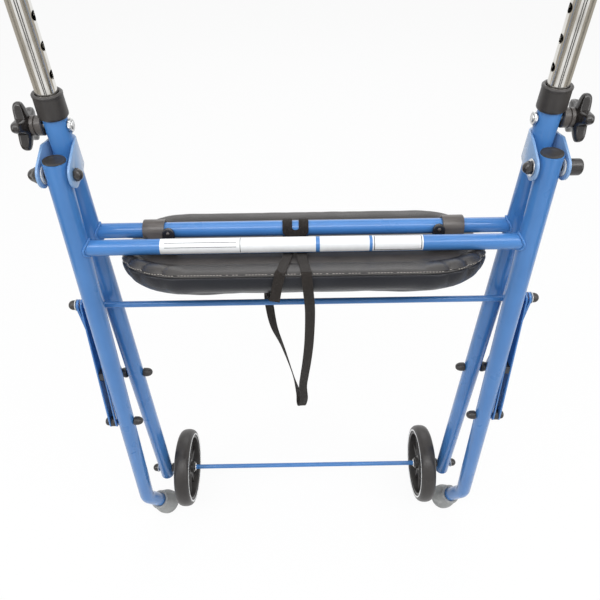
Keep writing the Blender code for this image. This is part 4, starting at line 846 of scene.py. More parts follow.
def copedRing(which, side, steps, reach, legRadius):
    # where lines on a cross tube's surface meet the leg's surface
    leg = legPoint(which, side, drops[f"{which}Cross"])
    down = legDown(which, side)
    line = xAxis * side
    flatLine = line - down * line.dot(down)
    a = flatLine.dot(flatLine)

    def place(turn):
        start = onCentre(leg) + Vector((0, math.cos(turn), math.sin(turn))) * reach
        away = start - leg
        flatAway = away - down * away.dot(down)
        b = 2 * flatLine.dot(flatAway)
        c = flatAway.dot(flatAway) - legRadius ** 2
        root = math.sqrt(max(b * b - 4 * a * c, 0.0))
        return start + line * ((-b - root) / (2 * a))

    return ringOf(steps, place)


def makeCrossTube(which):
    body = f"{which}_frame"
    outer = tube["crossOuter"]
    leg = tube["outer"]
    rings = []
    for reach in (outer, outer - tube["crossWall"]):
        rings += [copedRing(which, side, 48, reach, leg + 0.00005) for _, side in sides]
    outLeft, outRight, inLeft, inRight = rings
    spans = 12
    outside = [[a.lerp(b, step / spans) for a, b in zip(outLeft, outRight)] for step in range(spans + 1)]
    mesh = meshFromRings(outside + [inRight, inLeft], loop=True)
    addPiece(f"{which}CrossTube", "", mesh, "paint", body, f"{which}_cross_tube")
    for label, side in sides:
        points = copedRing(which, side, 96, outer + weldLift, leg + weldLift)
        weld = beads.grow(pathMesh(points, True), "paint", **weldBead)
        addPiece(f"{which}CrossTubeWeld", label, weld, "paint", body, smooth=80.0)


for label, side in sides:
    makeFrontLeg(label, side)
    makeRearLeg(label, side)
makeCrossTube("front")
makeCrossTube("rear")
print("legs and cross tubes made")


# Handles: collar, chrome tube with its holes, grip, nut, stud and star knob

handleShape = {"outer": 0.0111, "wall": 0.0012, "belowPin": 0.1350, "bendStart": 0.1850,
               "bendRadius": 0.0500, "bendDegrees": 67.0, "gripTube": 0.1100, "holePitch": 0.0270,
               "holes": 9, "holeRadius": 0.0045, "beyondGrip": 0.012}


def handlePath(side):
    shape = handleShape
    up = -legDown("front", side)
    pin = legPoint("front", side, drops["lock"])
    bend = math.radians(shape["bendDegrees"])
    grip = up * math.cos(bend) + inPlane(-yAxis, up) * math.sin(bend)
    reach = shape["bendRadius"] * math.tan(bend / 2)
    corner = pin + up * (shape["bendStart"] + drops["lock"] + reach)
    end = corner + grip * (reach + shape["gripTube"] + shape["beyondGrip"])
    return pin - up * shape["belowPin"], corner, end, grip


def makeHandleTube(label, side):
    shape = handleShape
    bottom, corner, end, _ = handlePath(side)
    up = -legDown("front", side)
    path = bentPath(bottom, corner, end, shape["bendRadius"], 18)
    mesh = pipeMesh(path, shape["outer"], shape["wall"], 56)
    row = pegs.grow(pathMesh([Vector((0, 0, 0)), zAxis * 0.001]), "chrome", count=shape["holes"],
                    pitch=shape["holePitch"], radius=shape["holeRadius"], length=shape["outer"] * 2.6)
    start = legPoint("front", side, drops["lock"]) - up * (shape["holePitch"] * (shape["holes"] - 1) / 2)
    row.transform(stand(start, (*crossFrame(up, xAxis), up)))
    addPiece("handleTube", label, cutAway(mesh, row), "chrome", f"handle_{label}", "handle_tube", 28.0)


gripShape = {"outer": 0.0165, "back": 0.0070, "ridges": 9, "ridgeDepth": 0.0011, "plainEnds": 0.022}


def makeGrip(label, side):
    shape = gripShape
    _, _, end, direction = handlePath(side)
    bore = handleShape["outer"] + 0.0002
    outer = shape["outer"]
    start = -handleShape["gripTube"]
    profile = [(start, bore)]
    profile += shifted(start, outer, (0, 0.0010), (0.0012, 0.0018), (0.0050, 0.0018), (0.0068, -0.0004))
    pitch = (handleShape["gripTube"] - shape["plainEnds"]) / shape["ridges"]
    for ridge in range(shape["ridges"]):
        place = start + shape["plainEnds"] / 2 + ridge * pitch
        profile += shifted(place, outer, (0, -0.0002), (pitch * 0.14, -shape["ridgeDepth"]),
                           (pitch * 0.30, -0.0002), (pitch * 0.65, 0))
    profile += shifted(0, outer, (-0.006, -0.0004), (0.002, -0.0006), (0.0050, -0.0022))
    profile += shifted(shape["back"], outer, (-0.0006, -0.0052), (0, -0.0080))
    profile += [(shape["back"], 0), (gap, 0), (gap, bore)]
    addTurned("handGrip", label, profile, end, direction, "grip", f"handle_{label}", "grip", 48, smooth=60.0)


collarShape = {"bottom": 0.0510, "top": 0.0768, "outer": 0.0155, "lip": 0.0030, "notchWidth": 0.0034,
               "notchDepth": 0.0022, "notchLong": 0.006}


def makeCollar(label, side):
    shape = collarShape
    down = legDown("front", side)
    base = legPoint("front", side, -shape["bottom"])
    height = shape["top"] - shape["bottom"]
    seat = legs["front"]["top"] - shape["bottom"] + gap
    outer = shape["outer"]
    bore = handleShape["outer"] + 0.0006
    leg = tube["outer"] + gap
    profile = [(0, leg)] + shifted(0, outer, (0.0002, -0.0014), (-0.0014, -0.0002), (-0.0030, 0))
    profile += shifted(shape["lip"] - height, outer, (0.0004, -0.0004), (0, 0))
    profile += shifted(-height, outer, (0.0012, 0.0001), (0.0002, -0.0008), (0, -0.0016))
    profile += [(-height, bore + 0.0008), (-height + 0.0008, bore), (-seat, bore), (-seat, leg)]
    # a small notch in the lip on the user's side
    facing = inPlane(-yAxis, down)
    place = base - down * height + facing * (outer - 0.0016)
    notch = blockMesh(place, (facing.cross(down), down, facing),
                      (shape["notchWidth"], shape["notchDepth"] * 2, shape["notchLong"]))
    mesh = cutAway(lathe(profile, base, down, 64, loop=True), notch)
    addPiece("tubeCollar", label, mesh, "plastic", "front_frame", "tube_collar")


knobShape = {"stud": 0.0039, "nutFlats": 0.0130, "nutThick": 0.0032, "hubLength": 0.0130,
             "hubRadius": 0.0106, "starRadius": 0.0260, "starThick": 0.0140, "lobes": 5,
             "lobeHalf": 0.0090, "lobeTaper": 0.17, "coreRadius": 0.0110, "stepsPerLobe": 28,
             "threads": 9, "threadPitch": 0.0009, "threadDepth": 0.00035}


def hexNutMesh(base, direction, flats, thick, bore):
    # six flats with the corners turned off at both faces
    first, second = crossFrame(direction)
    steps = 48
    chamfer = flats / 2 * 1.02

    def ring(along, limit):
        return shapedRing(base + direction * along, first, second, steps,
                          lambda turn: min(flats / 2 / math.cos(foldTurn(turn, 6)), limit))

    rings = [roundRing(base, first, second, bore, steps), ring(0, chamfer), ring(0.0006, 1.0)]
    rings += [ring(thick - 0.0006, 1.0), ring(thick, chamfer)]
    rings += [roundRing(base + direction * thick, first, second, bore + 0.0004, steps)]
    return meshFromRings(rings, loop=True)


def lobeReach(turn):
    # flat-ended lobes that narrow outwards, joined by round hollows
    shape = knobShape
    fold = foldTurn(turn, shape["lobes"])
    flat = shape["starRadius"] * 0.985 / math.cos(fold)
    flank = shape["lobeHalf"] / (abs(math.sin(fold)) + shape["lobeTaper"] * math.cos(fold))
    sharp, soft = 7.0, 4.0
    lobe = (flat ** -sharp + flank ** -sharp) ** (-1 / sharp)
    return min((lobe ** soft + shape["coreRadius"] ** soft) ** (1 / soft), shape["starRadius"])


def starMesh(base, direction):
    # levels are (along, share of the way from hub to star, scale)
    shape = knobShape

    def ring(along, blend, scale):
        return shapedRing(base + direction * along, zAxis, -yAxis, shape["lobes"] * shape["stepsPerLobe"],
                          lambda turn: (shape["hubRadius"] * (1 - blend) + lobeReach(turn) * blend) * scale)

    thick = shape["starThick"]
    levels = ((-0.0002, 0, 0.90), (0.0006, 0.15, 0.92), (0.0014, 0.50, 0.93),
              (0.0022, 0.80, 0.935), (0.0031, 0.95, 0.955), (0.0041, 1, 0.98), (0.0052, 1, 0.995),
              (0.0066, 1, 1.0), (0.0085, 1, 0.995), (0.0099, 1, 0.975), (0.0110, 1, 0.945),
              (0.0119, 0.98, 0.90), (0.0126, 0.94, 0.84), (0.0131, 0.88, 0.75),
              (0.0134, 0.70, 0.66), (0.0138, 0.35, 0.62), (thick, 0.10, 0.42))
    return meshFromRings([[base - direction * 0.0002]] + [ring(*level) for level in levels]
                         + [[base + direction * thick]])


def makeKnob(label, side):
    shape = knobShape
    centre = onCentre(legPoint("front", side, drops["lock"]))
    direction = xAxis * side
    hubStart = besideLeg("front", drops["lock"], 1, shape["hubRadius"])
    nutStart = besideLeg("front", drops["lock"], -1, shape["nutFlats"] / 2)
    starStart = hubStart + shape["hubLength"]
    knob = f"knob_{label}"
    addPiece("starKnob", label, starMesh(centre + direction * starStart, direction), "gloss", knob,
             "star_knob", 42.0)
    hub = shape["hubRadius"]
    bore = shape["stud"] + gap
    length = shape["hubLength"] - gap
    profile = [(0, bore)] + shifted(0, hub, (0, -0.0012), (0.0008, -0.0003), (length * 0.50, -0.0003),
                                    (length * 0.54, -0.0014), (length * 0.60, -0.0014), (length * 0.64, 0))
    profile += [(length - 0.0012, hub), (length, hub - 0.0012), (length, bore)]
    addTurned("knobHub", label, profile, centre + direction * hubStart, direction, "hub", knob, steps=48)
    nut = hexNutMesh(centre + direction * nutStart, -direction, shape["nutFlats"], shape["nutThick"],
                     shape["stud"] + 0.0002)
    addPiece("adjustNut", label, nut, "zinc", "front_frame", "adjust_nut")
    studStart = nutStart - shape["nutThick"] - 0.0012
    studEnd = starStart - 0.0006
    radius = shape["stud"]
    profile = shifted(studStart, radius, (0, -radius), (0, -0.0009), (0.0009, 0))
    for turn in range(shape["threads"]):
        profile += shifted(studStart + 0.0012 + turn * shape["threadPitch"], radius, (0, 0),
                           (shape["threadPitch"] / 2, -shape["threadDepth"]))
    profile += [(studStart + 0.0104, radius), (studEnd, radius), (studEnd, 0)]
    addTurned("lockStud", label, profile, centre, direction, "zinc", f"stud_{label}", "lock_stud", 28,
              loop=False, smooth=50.0)


for label, side in sides:
    makeHandleTube(label, side)
    makeGrip(label, side)
    makeCollar(label, side)
    makeKnob(label, side)
print("handles and knobs made")


# Hinge: bracket, bolt caps and washers

# a cap's two sizes are its radius and its length
hingeShape = {"plate": 0.0025, "washer": 0.0013, "washerRadius": 0.0095, "shank": 0.0040,
              "innerCap": (0.0068, 0.0084), "outerCap": (0.0082, 0.0136)}


def capProfile(start, sign, radius, length):
    # a push-on acorn cap: a short straight skirt and a long round dome
    skirt = length * 0.30
    steps = 10
    profile = [(start, 0), (start, radius * 0.94), (start + sign * 0.0006, radius)]
    for step in range(steps + 1):
        turn = math.pi / 2 * step / steps
        along = skirt + (length - skirt) * math.sin(turn)
        profile.append((start + sign * along, radius * math.cos(turn) ** 0.85 if step < steps else 0))
    return profile


def hexCapMesh(base, direction, radius, length):
    # a domed cap with six flats for a spanner round its skirt; levels are (along, width, flatness)
    first, second = crossFrame(direction)

    def ring(along, share, flat):
        def reachAt(turn):
            return radius * share * (0.90 / math.cos(foldTurn(turn, 6)) * flat + (1 - flat))

        return shapedRing(base + direction * along, first, second, 48, reachAt)

    levels = ((0, 0.94, 1), (0.0005, 1, 1), (length * 0.42, 1, 1), (length * 0.50, 0.93, 0.7),
              (length * 0.60, 0.86, 0.2), (length * 0.74, 0.74, 0), (length * 0.87, 0.54, 0),
              (length * 0.96, 0.30, 0))
    return meshFromRings([[base]] + [ring(*level) for level in levels] + [[base + direction * length]])


def makeHinge(label, side):
    shape = hingeShape
    direction = xAxis * side
    mesh = cadCopy(f"hinge_bracket_{label}", 0.0006)
    addPiece("hingeBracket", label, mesh, "bracketPaint", "front_frame", "hinge_bracket")
    radius = shape["washerRadius"]
    legIn = besideLeg("rear", 0.0, -1, radius)
    legOut = besideLeg("rear", 0.0, 1, radius)
    beyond = shape["washer"] + shape["plate"] + 3 * gap
    inside = legIn - beyond
    outside = legOut + beyond
    shank = shaft(inside + 0.0001, outside - 0.0001, shape["shank"])
    innerStart = inside if side < 0 else inside - 0.0013
    caps = [lathe(shank, hingeLine, direction, 36),
            hexCapMesh(hingeLine + direction * innerStart, -direction, *shape["innerCap"])]
    if side < 0:
        caps.append(hexCapMesh(hingeLine + direction * outside, direction, *shape["outerCap"]))
    else:
        cup = shifted(outside, 0, (0, 0), (0, 0.0086), (0.0010, 0.0091), (0.0140, 0.0090),
                      (0.0156, 0.0082), (0.0160, 0.0070), (0.0156, 0.0064), (0.0156, 0))
        caps.append(lathe(roundedProfile(cup, 0.0005), hingeLine, direction, 36))
    addPiece("hingeBolt", label, joined(caps), "gloss", "front_frame", "hinge_bolt")
    washers = [(legIn - shape["washer"], legIn - 0.0001, "nylon"),
               (legOut + 0.0001, legOut + shape["washer"], "nylon")]
    if side > 0:
        washers.append((inside - 0.0012, inside, "zinc"))
    bore = shape["shank"] + 0.0002
    ease = 0.0003
    for index, (start, end, finish) in enumerate(washers):
        profile = [(start, bore), (start, radius - ease), (start + ease, radius), (end - ease, radius),
                   (end, radius - ease), (end, bore)]
        addTurned(f"hingeWasher{index}", label, profile, hingeLine, direction, finish, "front_frame",
                  steps=40, slot="zinc")


for label, side in sides:
    makeHinge(label, side)
print("hinges made")


# Stays: long channels, short bars, the rod across and their bolts

stayShape = {"rodRadius": 0.00425, "rodSetback": 0.0200, "width": 0.0115, "depth": 0.0180,
             "wall": 0.0020, "offLeg": 0.0010, "plate": 0.0030, "clear": 0.0023, "spacer": 0.0100,
             "spacerRadius": 0.0085, "capRadius": 0.0070, "capLength": 0.0140, "shank": 0.0033,
             "sleeveRadius": 0.0084, "headLength": 0.0070, "rodCapLength": 0.0098}
stayStop = {"fromEnd": 0.1030, "length": 0.0126, "proud": 0.0006}
stayReflectionStrip = {"from": 0.0100, "to": 0.1020, "thick": 0.0008}
stayRodPoint = hingeLine + Vector((0, stayShape["rodSetback"], -drops["stayRod"]))
halfSlope = legs["rear"]["splay"] * stayShape["depth"] / 2


def channelInside(drop):
    # X of the long channel's inner face
    rear = legs["rear"]
    return rear["spread"] + rear["splay"] * drop + tube["outer"] + stayShape["offLeg"]


stayRodHalf = channelInside(drops["stayRod"]) + stayShape["width"] + halfSlope


def makeFrontStayBolt(label, side):
    # inner cap, tapered spacer, outer head and shank
    shape = stayShape
    wide = shape["spacerRadius"]
    cap = shape["capRadius"]
    drop = drops["frontStay"]
    legIn = besideLeg("front", drop, -1, wide)
    legOut = besideLeg("front", drop, 1, wide)
    spacerEnd = legOut + shape["spacer"]
    plateEnd = spacerEnd + shape["plate"] + 2 * gap
    spacer = shifted(legOut, 0, (0, 0), (0, wide - 0.0004), (0.0005, wide), (0.0030, wide))
    spacer += [(spacerEnd - 0.0004, wide * 0.78), (spacerEnd, wide * 0.72), (spacerEnd, 0)]
    head = shifted(plateEnd, 0, (0, 0), (0, cap), (0.0026, cap * 0.94), (0.0038, cap * 0.6), (0.0040, 0))
    parts = [capProfile(legIn, -1, cap, shape["capLength"]), spacer, head,
             shaft(legIn + 0.0001, plateEnd - 0.0001, shape["shank"])]
    mesh = latheAll(parts, onCentre(legPoint("front", side, drop)), xAxis * side)
    addPiece("frontStayBolt", label, mesh, "plastic", "front_frame", "front_stay_bolt")


def makeRearStayBolt(label, side):
    # inner cap, sleeve in the channel, outer head and shank
    shape = stayShape
    cap = shape["capRadius"]
    drop = drops["rearStay"]
    legIn = besideLeg("rear", drop, -1, cap)
    channelIn = channelInside(drop)
    channelOut = channelIn + shape["width"]
    clear = shape["wall"] + 2 * gap
    head = channelOut + halfSlope + gap
    parts = [capProfile(legIn, -1, cap, shape["capLength"]),
             shaft(channelIn + clear, channelOut - clear, shape["sleeveRadius"]),
             capProfile(head, 1, cap, shape["headLength"]),
             shaft(legIn + 0.0001, head - 0.0001, shape["shank"])]
    mesh = latheAll(parts, onCentre(legPoint("rear", side, drop)), xAxis * side)
    addPiece("rearStayBolt", label, mesh, "plastic", "rear_frame", "rear_stay_bolt")


def makeStayCap(label, side):
    # pin, washer and cap where the short stay meets the rod
    shape = stayShape
    direction = xAxis * side
    inner = stayRodHalf + shape["clear"]
    washer = shape["capRadius"] * 1.15
    seat = inner + shape["plate"] + gap + legs["rear"]["splay"] * washer
    parts = [shaft(inner + 0.0002, seat, shape["shank"]),
             capProfile(seat + 0.0013, 1, shape["capRadius"] * 0.96, shape["rodCapLength"])]
    mesh = latheAll(parts, stayRodPoint, direction)
    addPiece("stayCap", label, mesh, "plastic", "short_stays", "stay_cap")
    ring = roundedProfile(shaft(seat, seat + 0.0012, washer), 0.0003)
    addTurned("stayWasher", label, ring, stayRodPoint, direction, "nylon", "short_stays", loop=False)


def channelPlace(side, fromEnd):
    # the middle of the long channel at a distance up from its lower bolt, and the channel's axes there
    splay = legs["rear"]["splay"]
    low = onCentre(legPoint("rear", side, drops["rearStay"]))
    along = (onCentre(stayRodPoint) - low).normalized()
    spot = low + along * fromEnd
    across = channelInside(hingeLine.z - spot.z) + stayShape["width"] / 2
    axes = (xAxis, (along - xAxis * (side * splay)).normalized(), xAxis.cross(along).normalized())
    return spot + xAxis * (side * across), axes


def makeStayStop(label, side):
    # dark buffer in the long channel, under which the short stay stops
    shape = stayShape
    stop = stayStop
    reflectionStrip = stayReflectionStrip
    inside = shape["width"] - 2 * shape["wall"]
    centre, axes = channelPlace(side, stop["fromEnd"] + stop["length"] / 2)
    size = (inside + 0.0002, stop["length"] + stop["proud"], shape["depth"] - shape["wall"] + stop["proud"])
    block = bevelled(blockMesh(centre, axes, size), 0.0008, 3)
    addPiece("stayStop", label, block, "stop", "long_stays")
    # a grey strip on the channel's floor below the buffer: painted reflection, a pale grey standing in for
    # the light that the channel's inside reflects
    centre, axes = channelPlace(side, (reflectionStrip["from"] + reflectionStrip["to"]) / 2)
    floor = centre - axes[2] * (shape["depth"] / 2 - shape["wall"] - reflectionStrip["thick"] / 2)
    size = (inside - 0.0002, reflectionStrip["to"] - reflectionStrip["from"], reflectionStrip["thick"])
    addPiece("stayReflectionStrip", label, bevelled(blockMesh(floor, axes, size), 0.0002, 3), "reflectionStrip", "long_stays")


def makeRod(name, node, centre, half, radius, body):
    profile = [(-half, 0), (-half, radius - 0.0005), (-half + 0.0005, radius)]
    profile += [(half * share, radius) for share in (-0.6, -0.2, 0.2, 0.6)]
    profile += [(half - 0.0005, radius), (half, radius - 0.0005), (half, 0)]
    addTurned(name, "", profile, centre, xAxis, "paint", body, node, 32, loop=False)


for label, side in sides:
    addPiece("longStay", label, cadCopy(f"long_stay_{label}", 0.0005), "paint", "long_stays", "long_stay")
    addPiece("shortStay", label, cadCopy(f"short_stay_{label}", 0.0006), "paint", "short_stays", "short_stay")
    makeStayStop(label, side)
    makeFrontStayBolt(label, side)
    makeRearStayBolt(label, side)
    makeStayCap(label, side)
makeRod("stayRod", "stay_rod", stayRodPoint, stayRodHalf, stayShape["rodRadius"], "long_stays")
print("stays made")


# Axle and wheels

wheelShape = {"tyreRadius": 0.0750, "width": 0.0280, "innerFace": 0.2230, "rimRadius": 0.0623,
              "lineRadius": 0.0653, "lineWidth": 0.0030, "hubRadius": 0.0150, "axleRadius": 0.00425,
              "axleBeyond": 0.0046}
wheelRib = {"count": 10, "root": 0.0038, "tip": 0.0026, "depth": 0.0064}
axleCentre = onCentre(legPoint("front", 1, drops["axle"]))
axleBore = wheelShape["axleRadius"] + gap


def tyreProfile(half):
    # from the inner bead over the tread to the outer bead; the shoulders are round
    bead = wheelShape["rimRadius"] + 0.0004
    inner = [(-half * 0.78, bead), (-half * 0.86, bead + 0.0020), (-half * 0.985, bead + 0.0036)]
    crown = half * 0.66
    steps = 20
    tread = []
    for step in range(steps + 1):
        turn = math.pi - math.pi * step / steps
        flat = math.copysign(abs(math.cos(turn)) ** 0.86, math.cos(turn))
        tread.append((half * flat, wheelShape["tyreRadius"] - crown + crown * math.sin(turn) ** 0.92))
    return inner + tread + [(-along, radius) for along, radius in reversed(inner)]


def mirrored(points):
    # the profile with its own mirror image, from the last point back to the first
    return points + [(-along, radius) for along, radius in reversed(points)]


def makeWheel(label, side):
    shape = wheelShape
    half = shape["width"] / 2
    base = axleCentre + xAxis * (side * (shape["innerFace"] + half))
    direction = xAxis * side
    body = f"wheel_{label}"
    addTurned("tyre", label, tyreProfile(half), base, direction, "tyre", body, "tyre", 96, smooth=50.0)
    inner = shape["lineRadius"] - shape["lineWidth"] / 2
    outer = shape["lineRadius"] + shape["lineWidth"] / 2
    for face, sign in (("inner", -1), ("outer", 1)):
        # a thin pale line moulded round each side of the tyre
        at = sign * half
        ring = [(at * 0.93, inner - 0.0002), (at * 0.995, inner), (at * 1.012, inner + 0.0004),
                (at * 1.012, outer - 0.0005), (at * 0.985, outer), (at * 0.93, outer)]
        addTurned(f"tyreLine_{face}", label, ring, base, direction, "line", body, steps=96, smooth=60.0)
    rim = shape["rimRadius"]
    hub = shape["hubRadius"]
    inside = rim - 0.0042
    rimProfile = mirrored([(-half * 0.20, inside - 0.0012), (-half * 0.84, inside),
                           (-half * 0.88, inside + 0.0010), (-half * 0.88, rim - 0.0004),
                           (-half * 0.80, rim)])
    barrel = mirrored([(-half, axleBore), (-half, hub * 0.62), (-half + 0.0012, hub * 0.70),
                       (-half * 0.55, hub * 0.74), (-half * 0.42, hub * 0.98)])
    # a raised ring halfway out ties the ribs together
    web = mirrored([(-0.0022, 0.0285), (-0.0030, 0.0300), (-0.0030, 0.0330), (-0.0022, 0.0345)])
    parts = [lathe(profile, base, direction, steps, loop=True)
             for profile, steps in ((rimProfile, 80), (barrel, 48), (web, 64))]
    addPiece("wheelRim", label, joined(parts), "rim", body, "wheel_hub")
    spokes = ribs.grow(pathMesh([Vector((0, 0, 0)), xAxis * 0.001]), "rim", inner=hub * 0.86,
                       outer=inside + 0.0004, **wheelRib)
    spokes.transform(stand(base, (*crossFrame(direction), direction)))
    addPiece("wheelRibs", label, spokes, "rim", body, smooth=40.0)


def makeAxleFittings(label, side):
    legIn = besideLeg("front", drops["axle"], -1, stayShape["spacerRadius"])
    legOut = besideLeg("front", drops["axle"], 1, stayShape["spacerRadius"])
    inner = wheelShape["innerFace"]
    wheelOut = inner + wheelShape["width"]
    bore = axleBore
    spacer = shifted(wheelOut, 0, (0.0006, bore), (0.0006, 0.0078), (0.0010, 0.0082))
    spacer += shifted(legIn, 0, (-0.0004, 0.0082), (0, 0.0078), (0, bore))
    lock = shifted(inner, 0, (-0.0006, bore), (-0.0006, 0.0070), (-0.0010, 0.0075), (-0.0018, 0.0075),
                   (-0.0022, 0.0060), (-0.0030, 0.0056), (-0.0030, bore))
    washer = shifted(legOut, 0, (0, bore), (0, 0.0083), (0.0003, 0.0086), (0.0012, 0.0086),
                     (0.0014, 0.0083), (0.0014, bore))
    cap = shifted(legOut, 0, (0.0015, bore), (0.0015, 0.0074), (0.0021, 0.0078), (0.0065, 0.0074),
                  (0.0095, 0.0058), (0.0113, 0.0034), (0.0120, 0.0012), (0.0121, 0), (0.0042, 0),
                  (0.0042, bore))
    for name, node, profile, finish in (
            ("axleSpacer", "axle_spacer", spacer, "plastic"),
            ("axleLockWasher", "axle_lock_washer", lock, "zinc"),
            ("axleWasher", None, washer, "nylon"),
            ("axleCap", "axle_cap", cap, "gloss")):
        addTurned(name, label, profile, axleCentre, xAxis * side, finish, "front_frame", node)


for label, side in sides:
    makeWheel(label, side)
    makeAxleFittings(label, side)
axleHalf = abs(legPoint("front", 1, drops["axle"]).x) + tube["outer"] + wheelShape["axleBeyond"]
makeRod("axleRod", "axle_rod", axleCentre, axleHalf, wheelShape["axleRadius"], "front_frame")
print("wheels made")


# Rubber feet

footShape = {"baseRadius": 0.0235, "mouthRadius": 0.0180, "body": 0.0460, "sole": 0.0080, "grooves": 2}


def makeFoot(label, side):
    shape = footShape
    stub = legs["rear"]["stub"] + gap
    bore = tube["outer"] + gap
    sole = stub + shape["sole"]
    mouth = sole - shape["body"]
    mouthR = shape["mouthRadius"]
    baseR = shape["baseRadius"]
    profile = [(mouth + 0.0008, bore), (mouth, bore + 0.0008)]
    profile += shifted(mouth, mouthR, (0, -0.0014), (0.0006, -0.0004), (0.0018, 0), (0.0044, 0),
                       (0.0056, -0.0004), (0.0064, -0.0013), (0.0074, -0.0013), (0.0110, -0.0002))
    profile += shifted(sole, mouthR, (-0.0270, 0.0018), (-0.0220, 0.0036))
    profile += shifted(sole, baseR, (-0.0170, -0.0010), (-0.0130, -0.0002), (-0.0110, 0))
    for groove in range(shape["grooves"]):
        profile += shifted(sole - 0.0095 + groove * 0.0030, baseR, (0, 0), (0.0005, -0.0006), (0.0010, 0))
    profile += shifted(sole, baseR, (-0.0022, -0.0001), (-0.0006, -0.0012), (0, -0.0024))
    profile += [(sole, baseR * 0.55), (sole, 0), (stub, 0), (stub, bore)]
    corner = legPoint("rear", side, legs["rear"]["length"])
    addTurned("footTip", label, profile, corner, footDirection(side), "tip", "rear_frame", "foot_tip", 56,
              smooth=50.0)


for label, side in sides:
    makeFoot(label, side)
print("feet made")


# Seat: board, cushion, edge band, seam, clips and screws

seatShape = {"tilt": 16.0, "width": 0.4500, "front": 0.1290, "rear": 0.0920, "frontCorner": 0.0630,
             "rearCorner": 0.0900, "boardDrop": 0.0217, "boardInset": 0.0040, "boardThick": 0.0022}
cushionShape = {"topDrop": 0.0246, "sideDepth": 0.0295, "crown": 0.0085, "voxel": 0.0045,
                "pressure": 4.0, "frames": 20, "cap": 0.0050, "ease": 7, "startInset": 0.0010,
                "heldDepth": 0.0042, "wallTop": 0.0002, "wallIn": 0.0110, "firm": 0.85,
                "stretch": 22.0, "bending": 4.0}
frontCross = onCentre(legPoint("front", 1, drops["frontCross"]))
seatTilt = math.radians(seatShape["tilt"])
seatAhead = Vector((0, math.cos(seatTilt), -math.sin(seatTilt)))
seatUp = Vector((0, math.sin(seatTilt), math.cos(seatTilt)))
boardTop = -seatShape["boardDrop"]


def clamped(value):
    return max(0.0, min(1.0, value))


def seatPoint(x, aheadBy, upBy):
    return frontCross + xAxis * x + seatAhead * aheadBy + seatUp * upBy


def seatOutline(inset, steps=12, fill=0):
    # rounded outline of (x, ahead), with extra points on the straights when fill is set
    half = seatShape["width"] / 2 - inset
    points = []
    for quarter, (signX, signY) in enumerate(((1, 1), (-1, 1), (-1, -1), (1, -1))):
        end = "front" if signY > 0 else "rear"
        radius = seatShape[f"{end}Corner"] - inset
        middle = Vector((signX * (half - radius), signY * (seatShape[end] - inset - radius)))
        for step in range(steps + 1):
            turn = math.radians(90 * quarter + 90 * step / steps)
            points.append(middle + Vector((math.cos(turn), math.sin(turn))) * radius)
    if not fill:
        return points
    full = []
    for here, after in zip(points, points[1:] + points[:1]):
        count = max(1, round((after - here).length / fill))
        full += [here + (after - here) * (step / count) for step in range(count)]
    return full


def makeBoard():
    inset = seatShape["boardInset"]
    thick = seatShape["boardThick"]
    levels = ((0.0022, -thick), (0.0, -thick + 0.0006), (0.0, -0.0010), (0.0004, -0.0003), (0.0012, 0.0))
    rings = [[seatPoint(x, ahead, boardTop + depth) for x, ahead in seatOutline(inset + eased, 20)]
             for eased, depth in levels]
    addPiece("seatBoard", "", meshFromRings(rings, capped=True), "board", "seat", "seat_board")


def cushionForm():
    # closed pad, a little smaller than its space, for the cloth to fill
    shape = cushionShape
    start = shape["startInset"]
    under = shape["sideDepth"]
    top = -shape["topDrop"]
    edge = ((start + 0.0016, 0.0), (start + 0.0002, -0.0012), (start, -0.0060), (start + 0.0010, -0.0130),
            (start + 0.0040, -0.0225), (start + 0.0105, -under))
    middle = (seatShape["front"] - seatShape["rear"]) / 2
    rings = [[seatPoint(x, ahead, top + depth) for x, ahead in seatOutline(inset)] for inset, depth in edge]
    rim = seatOutline(edge[-1][0])
    for scale in (0.84, 0.62, 0.36, 0.14):
        depth = under + shape["crown"] * (1 - scale ** 2.2)
        rings.append([seatPoint(x * scale, middle + (ahead - middle) * scale, top - depth)
                      for x, ahead in rim])
    rings.append([seatPoint(0, middle, top - under - shape["crown"])])
    pad = bmesh.new()
    pad.from_mesh(meshFromRings(rings))
    bmesh.ops.holes_fill(pad, edges=pad.edges, sides=0)
    return meshFromBmesh(pad)


def puffUp(mesh):
    # cloth with air inside fills the cover; the side on the board stays flat
    shape = cushionShape
    mesh = modified(mesh, "REMESH", mode="VOXEL", voxel_size=shape["voxel"])
    for _ in range(2):
        mesh = modified(mesh, "SMOOTH", factor=0.5, iterations=2)
    piece = looseObject("cushionWork", mesh)
    rest = [vert.co.copy() for vert in mesh.vertices]
    held = piece.vertex_groups.new(name="held")
    for vert in mesh.vertices:
        if (vert.co - frontCross).dot(seatUp) > -shape["topDrop"] - shape["heldDepth"]:
            held.add([vert.index], 1.0, "REPLACE")
    cloth = addModifier(piece, "CLOTH")
    cloth.settings.use_pressure = True
    cloth.settings.uniform_pressure_force = shape["pressure"]
    cloth.settings.vertex_group_mass = "held"
    cloth.settings.effector_weights.gravity = 0.0
    cloth.settings.tension_stiffness = shape["stretch"]
    cloth.settings.compression_stiffness = shape["stretch"]
    cloth.settings.bending_stiffness = shape["bending"]
    cloth.settings.quality = 5
    cloth.point_cache.frame_start = 1
    cloth.point_cache.frame_end = shape["frames"]
    for number in range(1, shape["frames"] + 1):
        bpy.context.scene.frame_set(number)
    settle(piece)
    bpy.context.scene.frame_set(1)
    for vert, start in zip(piece.data.vertices, rest):
        move = vert.co - start
        if move.length > shape["cap"]:
            vert.co = start + move * (shape["cap"] / move.length)
    addModifier(piece, "SMOOTH", factor=0.5, iterations=shape["ease"], vertex_group="held",
                invert_vertex_group=True)
    return takeMesh(piece)


puckers = {"reach": 0.029, "deep": 0.0046, "sideDeep": 0.0028, "farLift": 0.0034, "ripple": 0.0006}


def cornerTurn(x, ahead):
    # angle round a near corner of the seat, or None along its straight sides
    corner = seatShape["rearCorner"]
    nearX = abs(x) - (seatShape["width"] / 2 - corner)
    nearY = -(ahead + seatShape["rear"] - corner)
    return None if nearX < 0 or nearY < 0 else math.atan2(nearX, nearY)


